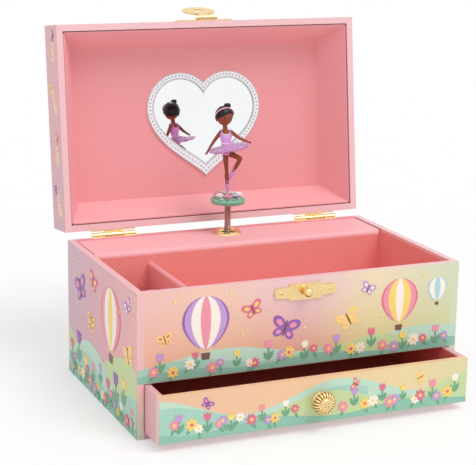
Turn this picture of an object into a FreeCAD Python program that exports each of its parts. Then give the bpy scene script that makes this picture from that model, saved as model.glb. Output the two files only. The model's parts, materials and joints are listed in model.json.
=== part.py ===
import FreeCAD, Part
import math
import os

V = FreeCAD.Vector
X = V(1, 0, 0)
Y = V(0, 1, 0)
Z = V(0, 0, 1)

# Box, in millimetres. The origin is the middle of the underside, the front faces -Y.
BOX_W = 200.0
BOX_D = 126.0
BOX_H = 83.4
BOARD = 4.0
BASE_T = 4.0
BAY_H = 27.8
TRAY_FLOOR_T = 3.0
LINING_T = 0.8
LINING_DROP = 1.4

# Tray fittings
DECK_DEPTH = 34.0
DECK_T = 3.0
DECK_DROP = 0.5
DECK_ROUND = 2.6
DECK_GAP = 1.4
CLEAT = 6.0
DIVIDER_X = -60.0
DIVIDER_T = 4.2
DIVIDER_H = 40.0
ROLL_COUNT = 5
ROLL_H = 29.0
ROLL_REAR_GAP = 12.0
ROLL_GAP = 0.5
SOFT_GAP = 0.4

# Lid
LID_H = 25.2
LID_DEPTH = 22.4
SEAM = 0.4
LID_OPEN = 96.9
LID_SLOPE = 11.2
LID_LINING_GAP = 1.2

# Heart mirror, measured along the lid from the middle of its panel
LOBE_R = 22.6
LOBE_X = 16.2
LOBE_Y = 8.4
HEART_TIP = 35.8
HEART_X = 2.4
BORDER_W = 4.2
BORDER_T = 1.2
MIRROR_T = 0.8
MIRROR_FIT = 0.1

# Hinges
HINGE_X = 69.2
HINGE_L = 28.2
HINGE_BACK = 3.4
KNUCKLE_R = 1.75
KNUCKLE_END = 8.0
KNUCKLE_GAP = 0.3
LEAF_T = 0.9
LEAF_H = 13.0
PIN_R = 0.8
PIN_FIT = 0.1

# Clasp and hasp
PLATE_W = 38.0
PLATE_H = 9.4
PLATE_BODY_W = 23.0
PLATE_TAB_H = 6.2
PLATE_T = 0.9
NAIL_X = 15.2
STUD_DROP = 8.0
STUD_R = 2.7
STUD_NECK_R = 1.4
HASP_RISE = 6.0
HASP_R = 1.3
HASP_PIN_R = 0.5
TONGUE_W = 21.6
TONGUE_L = 15.6
TONGUE_T = 0.9
TONGUE_NECK = 6.0
HASP_KNUCKLE = 4.0
STUD_PLAY = 0.4
TONGUE_BACK = 163.0

# Fasteners
SCREW_HEAD_R = 1.5
SCREW_HEAD_H = 0.7
SCREW_R = 0.8
SCREW_L = 3.0
NAIL_HEAD_R = 0.9
NAIL_HEAD_H = 0.5
NAIL_R = 0.45
NAIL_L = 3.2

# Drawer
DRAWER_OUT = 21.8
DRAWER_L = 118.0
DRAWER_PLAY = 0.5
DRAWER_BOARD = 4.0
DRAWER_SIDE = 3.6
DRAWER_FLOOR = 2.4
KNOB_R = 6.8
KNOB_H = 9.6
KNOB_FLUTES = 20
KNOB_SCREW_R = 1.5

# Dancer
AXIS_BACK = 9.3
GROMMET_R = 8.9
GROMMET_HOLE = 5.2
GROMMET_SHANK = 6.0
GROMMET_H = 1.7
GROMMET_TAIL = 0.6
STEM_R = 2.0
STEM_BORE = 1.3
STEM_RISE = 0.7
FIGURE_RISE = 19.1
FIGURE_H = 55.0
DOLL_UNITS = 55.0
DOLL_WAIST = 28.1
FIGURE_BASE_R = 10.8
FIGURE_BASE_T = 3.0
FLOWER_H = 4.6
FIGURE_TURN = -23.5
TUTU_R = 13.0
TUTU_TILT = 11.0

# Musical movement
BED_T = 2.5
BED_LEFT = 17.0
BED_RIGHT = 26.0
WHEEL_Z = 11.6
GEAR_MODULE = 0.6
ADDENDUM = 0.9
DEDENDUM = 1.2
FLANK_PLAY = 0.09
PRESSURE_ANGLE = 20.0
PINION_TEETH = 10
CROWN_TEETH = 34
CROWN_FACE = 1.6
TRAIN_MODULE = 0.5
CYLINDER_TEETH = 34
FLY_TEETH = 10
GEAR_T = 1.5
DRUM_R = 5.5
BED_TOP_GAP = 1.3
BED_LIP = 1.0
DRUM_PIN = 0.6
ARBOR_R = 1.2
BRACKET_T = 1.5
RUNNING = 0.3
BEARING = 0.1
COMB_TEETH = 18
COMB_T = 1.0
COMB_BASE = 9.0
COMB_REACH = 9.0
HOUSING_R = 8.0
HOUSING_L = 11.0
WINDER_R = 1.8
KEY_HUB_R = 3.5
KEY_HUB_L = 10.0
KEY_LOBE_R = 6.0
KEY_LOBE_X = 7.5
KEY_T = 2.2
FLY_R = 4.0
FLY_T = 0.5
FLY_PIVOT_R = 0.6
FLY_CLEAR = 1.0
POST_R = 1.5
POST_GAP = 2.0
STRAP_T = 1.5
STRAP_W = 6.0
BRACKET_EDGE = 4.0
BED_SCREW_EDGE = 3.0
BED_SCREW_RISE = 5.0
PIN_W = 0.3
CROWN_PLAY = 0.25
ARBOR_TOP = 6.0
COLLAR_WALL = 0.4
KEY_GAP = 1.0
GEAR_CLEAR = 1.0

# Places that follow from the sizes above
half_w = BOX_W / 2
half_d = BOX_D / 2
inner_x = half_w - BOARD
inner_y = half_d - BOARD
bay_top = BASE_T + BAY_H
shelf = bay_top + TRAY_FLOOR_T
tray_z = shelf + LINING_T
deck_top = BOX_H - DECK_DROP
deck_under = deck_top - DECK_T
deck_y = inner_y - DECK_DEPTH
axis_y = inner_y - AXIS_BACK
hinge_y = half_d + HINGE_BACK
hinge_z = BOX_H + SEAM / 2
rim_z = BOX_H + SEAM
panel_z = rim_z + LID_DEPTH
lid_top_z = rim_z + LID_H
hasp_y = -half_d - PLATE_T - HASP_R - PIN_FIT
hasp_z = rim_z + HASP_RISE
stud_z = BOX_H - STUD_DROP
stud_y = -half_d - PLATE_T
stem_z = deck_under + STEM_RISE
figure_z = deck_top + FIGURE_RISE


def box(x0, x1, y0, y1, z0, z1):
    return Part.makeBox(x1 - x0, y1 - y0, z1 - z0, V(x0, y0, z0))


def rod(r, start, end):
    way = end.sub(start)
    return Part.makeCylinder(r, way.Length, start, way)


def ball(r, x, y, z):
    return Part.makeSphere(r, V(x, y, z))


def join(shapes):
    shape = shapes[0]
    if len(shapes) > 1:
        shape = shape.fuse(shapes[1:])
    return shape.removeSplitter()


def poly(points):
    return Part.Face(Part.makePolygon(points + [points[0]]))


def spin(points):
    """A solid turned about Z from a profile of radius and height pairs."""
    return poly([V(r, 0, z) for r, z in points]).revolve(V(0, 0, 0), Z, 360)


def dome(r, h, place, way):
    """A low spherical cap standing on a point."""
    big = (r * r + h * h) / (2 * h)
    cap = Part.makeSphere(big, V(0, 0, h - big)).common(Part.makeCylinder(r, h))
    cap.Placement = FreeCAD.Placement(place, FreeCAD.Rotation(Z, way))
    return cap


def screw(place, way, head_r, head_h, r, length):
    return join([dome(head_r, head_h, place, way), rod(r, place, place - way * length)])


def opened(shape):
    """Turn a lid piece from closed to the open pose."""
    turned = shape.copy()
    turned.rotate(V(0, hinge_y, hinge_z), X, -LID_OPEN)
    return turned


def gear(teeth, module, z0, height, phase):
    """A spur gear about Z with rounded-off involute flanks drawn as short lines."""
    pitch = teeth * module / 2
    slant = math.radians(PRESSURE_ANGLE)
    base = pitch * math.cos(slant)
    inv = math.tan(slant) - slant
    half = math.pi / (2 * teeth) - FLANK_PLAY * module / pitch
    foot = max(base, pitch - ADDENDUM * module)
    head = pitch + ADDENDUM * module
    points = []
    for tooth in range(teeth):
        mid = 2 * math.pi * tooth / teeth + phase
        flank = []
        for step in (0.0, 0.35, 0.7, 1.0):
            r = foot + step * (head - foot)
            roll = math.acos(min(1.0, base / r))
            flank.append((r, half + inv - (math.tan(roll) - roll)))
        root = (pitch - DEDENDUM * module, flank[0][1])
        for r, a in [root] + flank:
            points.append(V(r * math.cos(mid - a), r * math.sin(mid - a), z0))
        for r, a in reversed([root] + flank):
            points.append(V(r * math.cos(mid + a), r * math.sin(mid + a), z0))
    return poly(points).extrude(V(0, 0, height))


def carcass(nails, hinge_screws, bed_screws, winder):
    left = box(-half_w, -inner_x, -half_d, half_d, 0, BOX_H)
    right = box(inner_x, half_w, -half_d, half_d, 0, BOX_H)
    back = box(-inner_x, inner_x, inner_y, half_d, 0, BOX_H)
    back = back.cut([hinge_screws, bed_screws, winder])
    front = box(-inner_x, inner_x, -half_d, -inner_y, bay_top, BOX_H).cut(nails)
    base = box(-inner_x, inner_x, -half_d, inner_y, 0, BASE_T)
    floor = box(-inner_x, inner_x, -inner_y, inner_y, bay_top, shelf)
    return {"left_wall": left, "right_wall": right, "back_wall": back, "front_panel": front,
            "base_board": base, "tray_floor": floor}


def tray():
    card = BOX_H - LINING_DROP
    inside = inner_x - LINING_T
    front = -inner_y + LINING_T
    lining = Part.makeCompound([
        box(-inner_x, inner_x, -inner_y, deck_y, shelf, tray_z),
        box(-inner_x, inner_x, -inner_y, front, tray_z, card),
        box(-inner_x, -inside, front, deck_y, tray_z, card),
        box(inside, inner_x, front, deck_y, tray_z, card)])
    top = box(-inner_x + DECK_GAP, inner_x - DECK_GAP, deck_y, inner_y, deck_under, deck_top)
    edge = [e for e in top.Edges if e.BoundBox.YMax < deck_y + 0.01 and e.BoundBox.ZMin > deck_top - 0.01]
    top = top.makeFillet(DECK_ROUND, edge)
    top = top.cut(rod(GROMMET_SHANK, V(0, axis_y, deck_under), V(0, axis_y, deck_top)))
    face = box(-inner_x, inner_x, deck_y, deck_y + DECK_T, shelf, deck_under)
    cleats = Part.makeCompound([
        box(-inner_x, -inner_x + CLEAT, deck_y + DECK_T, inner_y, deck_under - CLEAT, deck_under),
        box(inner_x - CLEAT, inner_x, deck_y + DECK_T, inner_y, deck_under - CLEAT, deck_under)])
    div = box(DIVIDER_X - DIVIDER_T / 2, DIVIDER_X + DIVIDER_T / 2, front, deck_y, tray_z, tray_z + DIVIDER_H)
    edges = [e for e in div.Edges if e.BoundBox.ZMin > tray_z + DIVIDER_H - 0.01 and e.BoundBox.YLength > 1]
    div = div.makeFillet(DIVIDER_T * 0.45, edges)
    return {"tray_lining": lining, "music_deck_top": top, "music_deck_front": face,
            "deck_cleats": cleats, "tray_divider": div}


def ring_rolls():
    x0 = -inner_x + LINING_T + SOFT_GAP
    x1 = DIVIDER_X - DIVIDER_T / 2 - SOFT_GAP
    y0 = -inner_y + LINING_T + SOFT_GAP
    pitch = (deck_y - ROLL_REAR_GAP - y0) / ROLL_COUNT
    r = (pitch - ROLL_GAP) / 2
    rolls = []
    for n in range(ROLL_COUNT):
        y = y0 + pitch * n
        pad = box(x0, x1, y, y + 2 * r, tray_z, tray_z + ROLL_H - r)
        crown = rod(r, V(x0, y + r, tray_z + ROLL_H - r), V(x1, y + r, tray_z + ROLL_H - r))
        rolls.append(join([pad, crown]))
    return Part.makeCompound(rolls)


def grommet():
    tail = -DECK_T - GROMMET_TAIL
    ring = spin([(GROMMET_HOLE, tail), (GROMMET_SHANK, tail), (GROMMET_SHANK, 0),
                 (GROMMET_R, 0), (GROMMET_R - 0.25, GROMMET_H * 0.55), (GROMMET_R - 1.0, GROMMET_H * 0.9),
                 (GROMMET_R - 1.9, GROMMET_H), (GROMMET_HOLE + 0.9, GROMMET_H * 0.85),
                 (GROMMET_HOLE + 0.25, GROMMET_H * 0.5), (GROMMET_HOLE, 0)])
    ring.translate(V(0, axis_y, deck_top))
    return ring


def hinge_leaf(x, side, screws):
    """One leaf of a hinge; side is -1 for the box leaf and +1 for the lid leaf, lid closed."""
    x0 = x - HINGE_L / 2
    ends = [(x0, x0 + KNUCKLE_END), (x0 + HINGE_L - KNUCKLE_END, x0 + HINGE_L)]
    if side > 0:
        ends = [(x0 + KNUCKLE_END + KNUCKLE_GAP, x0 + HINGE_L - KNUCKLE_END - KNUCKLE_GAP)]
    near = hinge_z + side * (KNUCKLE_R - LEAF_T)
    far = hinge_z + side * LEAF_H
    pieces = [box(x0, x0 + HINGE_L, half_d, half_d + LEAF_T, min(near, far), max(near, far))]
    web = hinge_z + side * KNUCKLE_R
    for a, b in ends:
        pieces.append(rod(KNUCKLE_R, V(a, hinge_y, hinge_z), V(b, hinge_y, hinge_z)))
        pieces.append(box(a, b, half_d, hinge_y, min(near, web), max(near, web)))
    leaf = join(pieces)
    bore = PIN_R if side < 0 else PIN_R + PIN_FIT
    leaf = leaf.cut(rod(bore, V(x0, hinge_y, hinge_z), V(x0 + HINGE_L, hinge_y, hinge_z)))
    return leaf.cut(screws)


def hinge_leaves(side, screws):
    return Part.makeCompound([hinge_leaf(x, side, screws) for x in (-HINGE_X, HINGE_X)])


def hinge_screws(side):
    z = hinge_z + side * (LEAF_H + KNUCKLE_R) / 2
    found = []
    for x in (-HINGE_X, HINGE_X):
        for dx in (-HINGE_L * 0.33, HINGE_L * 0.33):
            place = V(x + dx, half_d + LEAF_T, z)
            found.append(screw(place, Y, SCREW_HEAD_R, SCREW_HEAD_H, SCREW_R, SCREW_L))
    return Part.makeCompound(found)


def hinge_pins():
    pins = []
    for x in (-HINGE_X, HINGE_X):
        pins.append(rod(PIN_R, V(x - HINGE_L / 2, hinge_y, hinge_z), V(x + HINGE_L / 2, hinge_y, hinge_z)))
    return Part.makeCompound(pins)


def plate(z):
    """A stamped plate on the front: a body with stepped shoulders and rounded tabs."""
    y = -half_d - PLATE_T
    body = box(-PLATE_BODY_W / 2, PLATE_BODY_W / 2, y, -half_d, z - PLATE_H / 2, z + PLATE_H / 2)
    tab = box(-PLATE_W / 2, PLATE_W / 2, y, -half_d, z - PLATE_TAB_H / 2, z + PLATE_TAB_H / 2)
    tab = tab.makeFillet(PLATE_TAB_H * 0.34, [e for e in tab.Edges if e.BoundBox.YLength > PLATE_T * 0.9])
    whole = join([body, tab])
    bites = []
    for sx in (-1, 1):
        for sz in (-1, 1):
            x = sx * PLATE_BODY_W / 2
            bite_z = z + sz * PLATE_H / 2
            bites.append(rod((PLATE_H - PLATE_TAB_H) / 2, V(x, y, bite_z), V(x, -half_d, bite_z)))
    return whole.cut(bites)


def plate_nails(z):
    nails = []
    for x in (-NAIL_X, NAIL_X):
        place = V(x, -half_d - PLATE_T, z)
        nails.append(screw(place, Y * -1, NAIL_HEAD_R, NAIL_HEAD_H, NAIL_R, NAIL_L))
    return Part.makeCompound(nails)


def clasp_stud():
    """Ball stud riveted through its plate into the front panel."""
    ball_y = stud_y - TONGUE_T - STUD_R * 0.86
    neck = rod(STUD_NECK_R, V(0, -half_d + BOARD * 0.6, stud_z), V(0, ball_y, stud_z))
    return join([neck, ball(STUD_R, 0, ball_y, stud_z)])


def hasp_spans():
    outer = TONGUE_NECK / 2 + HASP_KNUCKLE
    inner = TONGUE_NECK / 2 + KNUCKLE_GAP
    return [(-outer, -inner), (inner, outer)]


def hasp_plate(nails):
    pieces = [plate(hasp_z + PLATE_H / 2 + HASP_R * 0.6)]
    for a, b in hasp_spans():
        pieces.append(rod(HASP_R, V(a, hasp_y, hasp_z), V(b, hasp_y, hasp_z)))
        pieces.append(box(a, b, hasp_y, -half_d, hasp_z + HASP_R * 0.3, hasp_z + HASP_R))
    whole = join(pieces)
    (a, _), (_, b) = hasp_spans()
    return whole.cut([rod(HASP_PIN_R, V(a, hasp_y, hasp_z), V(b, hasp_y, hasp_z)), nails])


def hasp_tongue():
    """Oval tongue hanging latched over the stud, before it is turned back."""
    y0 = hasp_y - TONGUE_T / 2
    y1 = hasp_y + TONGUE_T / 2
    half = TONGUE_NECK / 2
    oval = Part.Ellipse(V(0, y0, stud_z), TONGUE_W / 2, TONGUE_L / 2)
    oval.Axis = Y
    oval = Part.Face(Part.Wire(oval.toShape())).extrude(V(0, TONGUE_T, 0))
    neck = box(-half, half, y0, y1, stud_z, hasp_z)
    knuckle = rod(HASP_R, V(-half, hasp_y, hasp_z), V(half, hasp_y, hasp_z))
    whole = join([oval, neck, knuckle])
    whole = whole.cut(rod(STUD_R + STUD_PLAY, V(0, y0 - 1, stud_z), V(0, y1 + 1, stud_z)))
    whole = whole.cut(rod(HASP_PIN_R + PIN_FIT, V(-half, hasp_y, hasp_z), V(half, hasp_y, hasp_z)))
    whole.rotate(V(0, hasp_y, hasp_z), X, -TONGUE_BACK)
    return whole


def lid_boards(nails, screws):
    top = box(-inner_x, inner_x, -inner_y, inner_y, panel_z + LINING_T, lid_top_z)
    left = box(-half_w, -inner_x, -half_d, half_d, rim_z, lid_top_z)
    right = box(inner_x, half_w, -half_d, half_d, rim_z, lid_top_z)
    front = box(-inner_x, inner_x, -half_d, -inner_y, rim_z, lid_top_z).cut(nails)
    back = box(-inner_x, inner_x, inner_y, half_d, rim_z, lid_top_z).cut(screws)
    return {"lid_top_panel": top, "lid_left_wall": left, "lid_right_wall": right,
            "lid_front_wall": front, "lid_back_wall": back}


def lid_lining():
    """A flat card on the lid panel and four cards slanting down to the rim."""
    px = inner_x - LID_SLOPE
    py = inner_y - LID_SLOPE
    rx = inner_x - LID_LINING_GAP
    ry = inner_y - LID_LINING_GAP
    rim = rim_z + LINING_T
    panel = box(-px, px, -py, py, panel_z, panel_z + LINING_T)
    cards = []
    corners = [(-1, -1), (1, -1), (1, 1), (-1, 1)]
    for n in range(4):
        a = corners[n]
        b = corners[(n + 1) % 4]
        face = poly([V(a[0] * rx, a[1] * ry, rim), V(b[0] * rx, b[1] * ry, rim),
                     V(b[0] * px, b[1] * py, panel_z), V(a[0] * px, a[1] * py, panel_z)])
        way = face.normalAt(0, 0)
        if way.z < 0:
            way = way * -1
        cards.append(face.extrude(way * LINING_T))
    return panel, Part.makeCompound(cards)


def heart(inset):
    """The heart outline on the lid panel, drawn in by an even inset."""
    r = LOBE_R - inset
    notch = -LOBE_Y - math.sqrt(r * r - LOBE_X * LOBE_X)
    tip = V(HEART_X, HEART_TIP - inset * 1.75, panel_z)
    edges = []
    for side in (1, -1):
        turn = math.radians(24)
        top = V(HEART_X + side * LOBE_X, -LOBE_Y - r, panel_z)
        low = V(HEART_X + side * (LOBE_X + r * math.cos(turn)), -LOBE_Y + r * math.sin(turn), panel_z)
        out = V(-side * math.sin(turn), math.cos(turn), 0)
        edges.append(Part.Arc(V(HEART_X, notch, panel_z), top, low).toShape())
        flank = Part.BezierCurve()
        flank.setPoles([low, low + out * (r * 0.85), tip + V(side * r * 0.42, -r * 0.42, 0), tip])
        edges.append(flank.toShape())
    return Part.Face(Part.Wire(Part.__sortEdges__(edges)))


def mirror():
    glass = heart(BORDER_W + MIRROR_FIT).extrude(V(0, 0, -MIRROR_T))
    border = heart(0).extrude(V(0, 0, -BORDER_T)).cut(heart(BORDER_W).extrude(V(0, 0, -BORDER_T)))
    return glass, border


def drawer():
    x = inner_x - DRAWER_PLAY
    z0 = BASE_T + DRAWER_PLAY
    z1 = bay_top - DRAWER_PLAY
    front = -half_d
    inside = front + DRAWER_BOARD
    rear = front + DRAWER_L
    pieces = {"drawer_front": box(-x, x, front, inside, z0, z1),
              "drawer_left_side": box(-x, -x + DRAWER_SIDE, inside, rear, BASE_T, z1),
              "drawer_right_side": box(x - DRAWER_SIDE, x, inside, rear, BASE_T, z1)}
    x = x - DRAWER_SIDE
    pieces["drawer_back"] = box(-x, x, rear - DRAWER_SIDE, rear, z0, z1)
    pieces["drawer_bottom"] = box(-x, x, inside, rear - DRAWER_SIDE, z0, z0 + DRAWER_FLOOR)
    mid = (z0 + z1) / 2
    pieces["drawer_knob"], pieces["knob_screw"] = knob(front, mid)
    pieces["drawer_front"] = pieces["drawer_front"].cut(pieces["knob_screw"])
    for shape in pieces.values():
        shape.translate(V(0, -DRAWER_OUT, 0))
    return pieces


def knob(front, z):
    """Fluted brass knob with a button in its middle, and the screw that holds it."""
    h = KNOB_H
    r = KNOB_R
    body = spin([(0, 0), (r * 0.72, 0), (r * 0.72, h * 0.1), (r * 0.5, h * 0.2), (r * 0.42, h * 0.34),
                 (r * 0.8, h * 0.46), (r * 0.98, h * 0.56), (r, h * 0.66), (r * 0.94, h * 0.78),
                 (r * 0.78, h * 0.87), (r * 0.48, h * 0.92), (r * 0.48, h), (0, h)])
    cuts = []
    for n in range(KNOB_FLUTES):
        a = 2 * math.pi * n / KNOB_FLUTES
        low = V(r * 1.06 * math.cos(a), r * 1.06 * math.sin(a), h * 0.4)
        cuts.append(rod(r * 0.11, low, low + V(-math.cos(a), -math.sin(a), 1.0) * (h * 0.58)))
    for n in range(4):
        a = math.pi * (n + 0.5) / 2
        hole = V(r * 0.2 * math.cos(a), r * 0.2 * math.sin(a), h * 0.95)
        cuts.append(rod(r * 0.07, hole, hole + Z * h * 0.1))
    body = body.cut(cuts)
    body.Placement = FreeCAD.Placement(V(0, front, z), FreeCAD.Rotation(Z, Y * -1))
    tip = V(0, front - h * 0.6, z)
    inside = V(0, front + DRAWER_BOARD, z)
    bolt = join([rod(KNOB_SCREW_R, tip, inside),
                 dome(KNOB_SCREW_R * 2, KNOB_SCREW_R * 0.9, inside, Y)])
    return body.cut(bolt), bolt


def limb(points):
    """A limb of round sections: places and radii joined by cones and balls."""
    pieces = []
    for n, (place, r) in enumerate(points):
        pieces.append(Part.makeSphere(r, place))
        if n:
            last, last_r = points[n - 1]
            way = place.sub(last)
            if abs(r - last_r) < 0.02:
                pieces.append(rod(r, last, place))
            else:
                pieces.append(Part.makeCone(last_r, r, way.Length, last, way))
    return join(pieces)


def oval(rx, ry, x, y, z):
    """An ellipse in a level plane."""
    ring = Part.Circle(V(0, 0, 0), Z, 1.0).toShape()
    frame = FreeCAD.Matrix(rx, 0, 0, x, 0, ry, 0, y, 0, 0, 1, z)
    return Part.Wire(ring.transformGeometry(frame))


def egg(rx, ry, rz, x, y, z):
    """A ball stretched to three half-widths."""
    frame = FreeCAD.Matrix(rx, 0, 0, x, 0, ry, 0, y, 0, 0, rz, z)
    return Part.makeSphere(1.0).transformGeometry(frame)


def doll():
    """The dancer about the Z axis, facing -Y, heights above the top of her toe point."""
    stand = limb([(V(-0.2, 0, -0.4), 0.7), (V(-0.4, 0, 3.4), 1.15), (V(-0.6, 0, 5.0), 0.95),
                  (V(-0.9, 0.2, 9.4), 1.4), (V(-1.1, 0, 13.2), 1.2), (V(-2.0, 0, 24.5), 1.95)])
    lift = limb([(V(0.2, 0, 23.6), 1.9), (V(7.3, -1.6, 21.0), 1.45), (V(3.2, -1.5, 13.0), 0.9),
                 (V(2.2, -1.5, 10.6), 1.05), (V(0.9, -1.5, 7.4), 0.6)])
    torso = Part.makeLoft([oval(2.9, 2.5, -1.0, 0, 23.0), oval(2.9, 2.3, -1.5, 0, 27.8),
                           oval(2.6, 2.0, -1.7, 0, 30.6), oval(3.5, 2.5, -1.8, 0, 35.0),
                           oval(3.4, 2.0, -1.9, 0, 37.9), oval(1.6, 1.5, -2.2, 0, 39.4)], True)
    neck = limb([(V(-2.2, 0, 38.6), 1.5), (V(-2.5, -0.1, 42.2), 1.4)])
    head = egg(5.1, 5.2, 5.9, -2.8, -0.4, 47.3)
    hair = egg(5.8, 5.4, 5.9, -2.9, 0.7, 47.9)
    bun = ball(2.0, -0.9, 1.2, 53.0)
    right = limb([(V(-4.9, 0, 37.2), 1.2), (V(-9.3, 0.4, 31.0), 0.95), (V(-13.0, -0.8, 24.9), 0.75),
                  (V(-13.5, -1.1, 23.9), 0.6)])
    left = limb([(V(1.3, 0, 37.4), 1.2), (V(6.6, 0.3, 33.6), 0.95), (V(12.0, -0.7, 31.3), 0.75),
                 (V(13.2, -0.9, 31.1), 0.55)])
    whole = join([stand, lift, torso, neck, head, hair, bun, right, left])
    return whole.scale(FIGURE_H / DOLL_UNITS)


def figure():
    flower_z = figure_z + FIGURE_BASE_T
    r = FIGURE_BASE_R
    base = spin([(0, 0), (r * 0.94, 0), (r * 0.98, FIGURE_BASE_T * 0.25), (r * 0.98, FIGURE_BASE_T * 0.45),
                 (r, FIGURE_BASE_T * 0.55), (r, FIGURE_BASE_T * 0.88), (r * 0.96, FIGURE_BASE_T),
                 (r * 0.8, FIGURE_BASE_T + FLOWER_H * 0.2), (r * 0.5, FIGURE_BASE_T + FLOWER_H * 0.55),
                 (r * 0.2, FIGURE_BASE_T + FLOWER_H * 0.9), (0, FIGURE_BASE_T + FLOWER_H * 0.95)])
    base.translate(V(0, 0, figure_z))
    buds = [base]
    for n in range(7):
        a = 2 * math.pi * n / 7 - math.pi / 2
        buds.append(ball(r * 0.22, r * 0.6 * math.cos(a), r * 0.6 * math.sin(a), flower_z + FLOWER_H * 0.2))
    base = join(buds)
    body = doll()
    body.translate(V(0, 0, flower_z + FLOWER_H))
    waist = flower_z + FLOWER_H + DOLL_WAIST * FIGURE_H / DOLL_UNITS
    skirt = spin([(1.0, -1.0), (TUTU_R * 0.5, -1.9), (TUTU_R * 0.96, -1.6), (TUTU_R, -1.0),
                  (TUTU_R * 0.96, -0.3), (TUTU_R * 0.6, 0.8), (2.6, 2.6), (1.0, 2.6)])
    skirt.rotate(V(0, 0, 0), Y, -TUTU_TILT)
    skirt.translate(V(0, 0, waist))
    skirt = skirt.cut(body)
    base = base.cut(body)
    socket = rod(STEM_R, V(0, 0, figure_z - 1), V(0, 0, figure_z + FIGURE_BASE_T * 0.6))
    base = base.cut(socket)
    for shape in (base, body, skirt):
        shape.rotate(V(0, 0, 0), Z, FIGURE_TURN)
        shape.translate(V(0, axis_y, 0))
    return base, body, skirt


def stem():
    top = figure_z + FIGURE_BASE_T * 0.6
    tube = rod(STEM_R, V(0, axis_y, stem_z), V(0, axis_y, top))
    return tube.cut(rod(STEM_BORE, V(0, axis_y, stem_z), V(0, axis_y, top)))


def movement():
    """The musical movement on its bedplate against the back wall."""
    wheel_z = shelf + WHEEL_Z
    pinion_r = PINION_TEETH * GEAR_MODULE / 2
    crown_r = CROWN_TEETH * GEAR_MODULE / 2
    pinion_z = wheel_z + crown_r - CROWN_FACE / 2
    low_z = pinion_z + CROWN_FACE + RUNNING
    drum_z = low_z + BRACKET_T + RUNNING
    high_z = deck_under - BED_TOP_GAP - BED_LIP - BRACKET_T
    gear_z = high_z - RUNNING - GEAR_T
    drum_l = gear_z - RUNNING - drum_z
    train_r = CYLINDER_TEETH * TRAIN_MODULE / 2
    fly_x = -(train_r + FLY_TEETH * TRAIN_MODULE / 2)
    bed_y = inner_y - BED_T
    pitch_y = axis_y + pinion_r
    root_y = pitch_y + DEDENDUM * GEAR_MODULE
    comb_x = DRUM_R + DRUM_PIN + RUNNING
    comb_y = axis_y + COMB_T / 2
    block_x = comb_x + COMB_REACH
    post_x = crown_r + CROWN_FACE + POST_GAP
    front_y = root_y - HOUSING_L - STRAP_T

    bed = box(-BED_LEFT, BED_RIGHT, bed_y, inner_y, shelf, high_z + BRACKET_T + BED_LIP)
    window = train_r + TRAIN_MODULE + GEAR_CLEAR
    bed = bed.cut(box(-window, window, bed_y, inner_y, gear_z - RUNNING, gear_z + GEAR_T + RUNNING))
    parts = [bed, box(block_x, block_x + COMB_BASE, comb_y, bed_y, drum_z, drum_z + drum_l)]
    for z in (low_z, high_z):
        parts.append(box(fly_x - BRACKET_EDGE, BRACKET_EDGE, axis_y - BRACKET_EDGE, bed_y, z, z + BRACKET_T))
    bed = join(parts)
    bores = [rod(WINDER_R + BEARING, V(0, bed_y, wheel_z), V(0, inner_y, wheel_z)),
             rod(ARBOR_R + BEARING, V(0, axis_y, low_z), V(0, axis_y, high_z + BRACKET_T)),
             rod(FLY_PIVOT_R + BEARING, V(fly_x, axis_y, low_z), V(fly_x, axis_y, high_z + BRACKET_T))]
    bed = bed.cut(bores)

    bed_screws = []
    right_x = BED_RIGHT - BED_SCREW_EDGE
    left_x = BED_SCREW_EDGE - BED_LEFT
    screw_z = shelf + BED_SCREW_RISE
    for x, z in ((right_x, screw_z), (left_x, screw_z), (right_x, high_z)):
        bed_screws.append(screw(V(x, bed_y, z), Y * -1, SCREW_HEAD_R, SCREW_HEAD_H, SCREW_R, BED_T + SCREW_L))
    bed_screws = Part.makeCompound(bed_screws)

    pitch = drum_l / COMB_TEETH
    edge = [V(block_x, comb_y, drum_z)]
    for n in range(COMB_TEETH):
        z = drum_z + pitch * (n + 0.2)
        tip = comb_x
        root = block_x - COMB_REACH * 0.25 * n / COMB_TEETH
        edge += [V(root, comb_y, z), V(tip, comb_y, z), V(tip, comb_y, z + pitch * 0.62),
                 V(root, comb_y, z + pitch * 0.62)]
    edge += [V(block_x, comb_y, drum_z + drum_l), V(block_x + COMB_BASE, comb_y, drum_z + drum_l),
             V(block_x + COMB_BASE, comb_y, drum_z)]
    comb = poly(edge).extrude(V(0, -COMB_T, 0))
    comb_screws = []
    for part in (0.25, 0.75):
        place = V(block_x + COMB_BASE / 2, comb_y - COMB_T, drum_z + drum_l * part)
        comb_screws.append(screw(place, Y * -1, SCREW_HEAD_R, SCREW_HEAD_H, SCREW_R, SCREW_L))
    comb_screws = Part.makeCompound(comb_screws)
    comb = comb.cut(comb_screws)
    bed = bed.cut([bed_screws, comb_screws])

    drum = Part.makeCylinder(DRUM_R, drum_l, V(0, 0, drum_z))
    pins = [drum]
    for n in range(COMB_TEETH * 2):
        a = math.radians(137.5 * n)
        z = drum_z + pitch * (n % COMB_TEETH + 0.5)
        pin = box(DRUM_R - PIN_W, DRUM_R + DRUM_PIN, -PIN_W / 2, PIN_W / 2, z - PIN_W / 2, z + PIN_W / 2)
        pin.rotate(V(0, 0, 0), Z, math.degrees(a))
        pins.append(pin)
    drum = join(pins)
    collar_z = high_z + BRACKET_T + RUNNING
    gap_to_crown = math.pi / 2 - math.pi / PINION_TEETH
    arbor = join([gear(PINION_TEETH, GEAR_MODULE, pinion_z, CROWN_FACE, gap_to_crown),
                  gear(CYLINDER_TEETH, TRAIN_MODULE, gear_z, GEAR_T, math.pi),
                  Part.makeCylinder(ARBOR_R, stem_z + ARBOR_TOP - pinion_z, V(0, 0, pinion_z)),
                  Part.makeCylinder(STEM_R + COLLAR_WALL, stem_z - collar_z, V(0, 0, collar_z))])
    drum = drum.cut(arbor)
    for shape in (drum, arbor):
        shape.translate(V(0, axis_y, 0))

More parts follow.
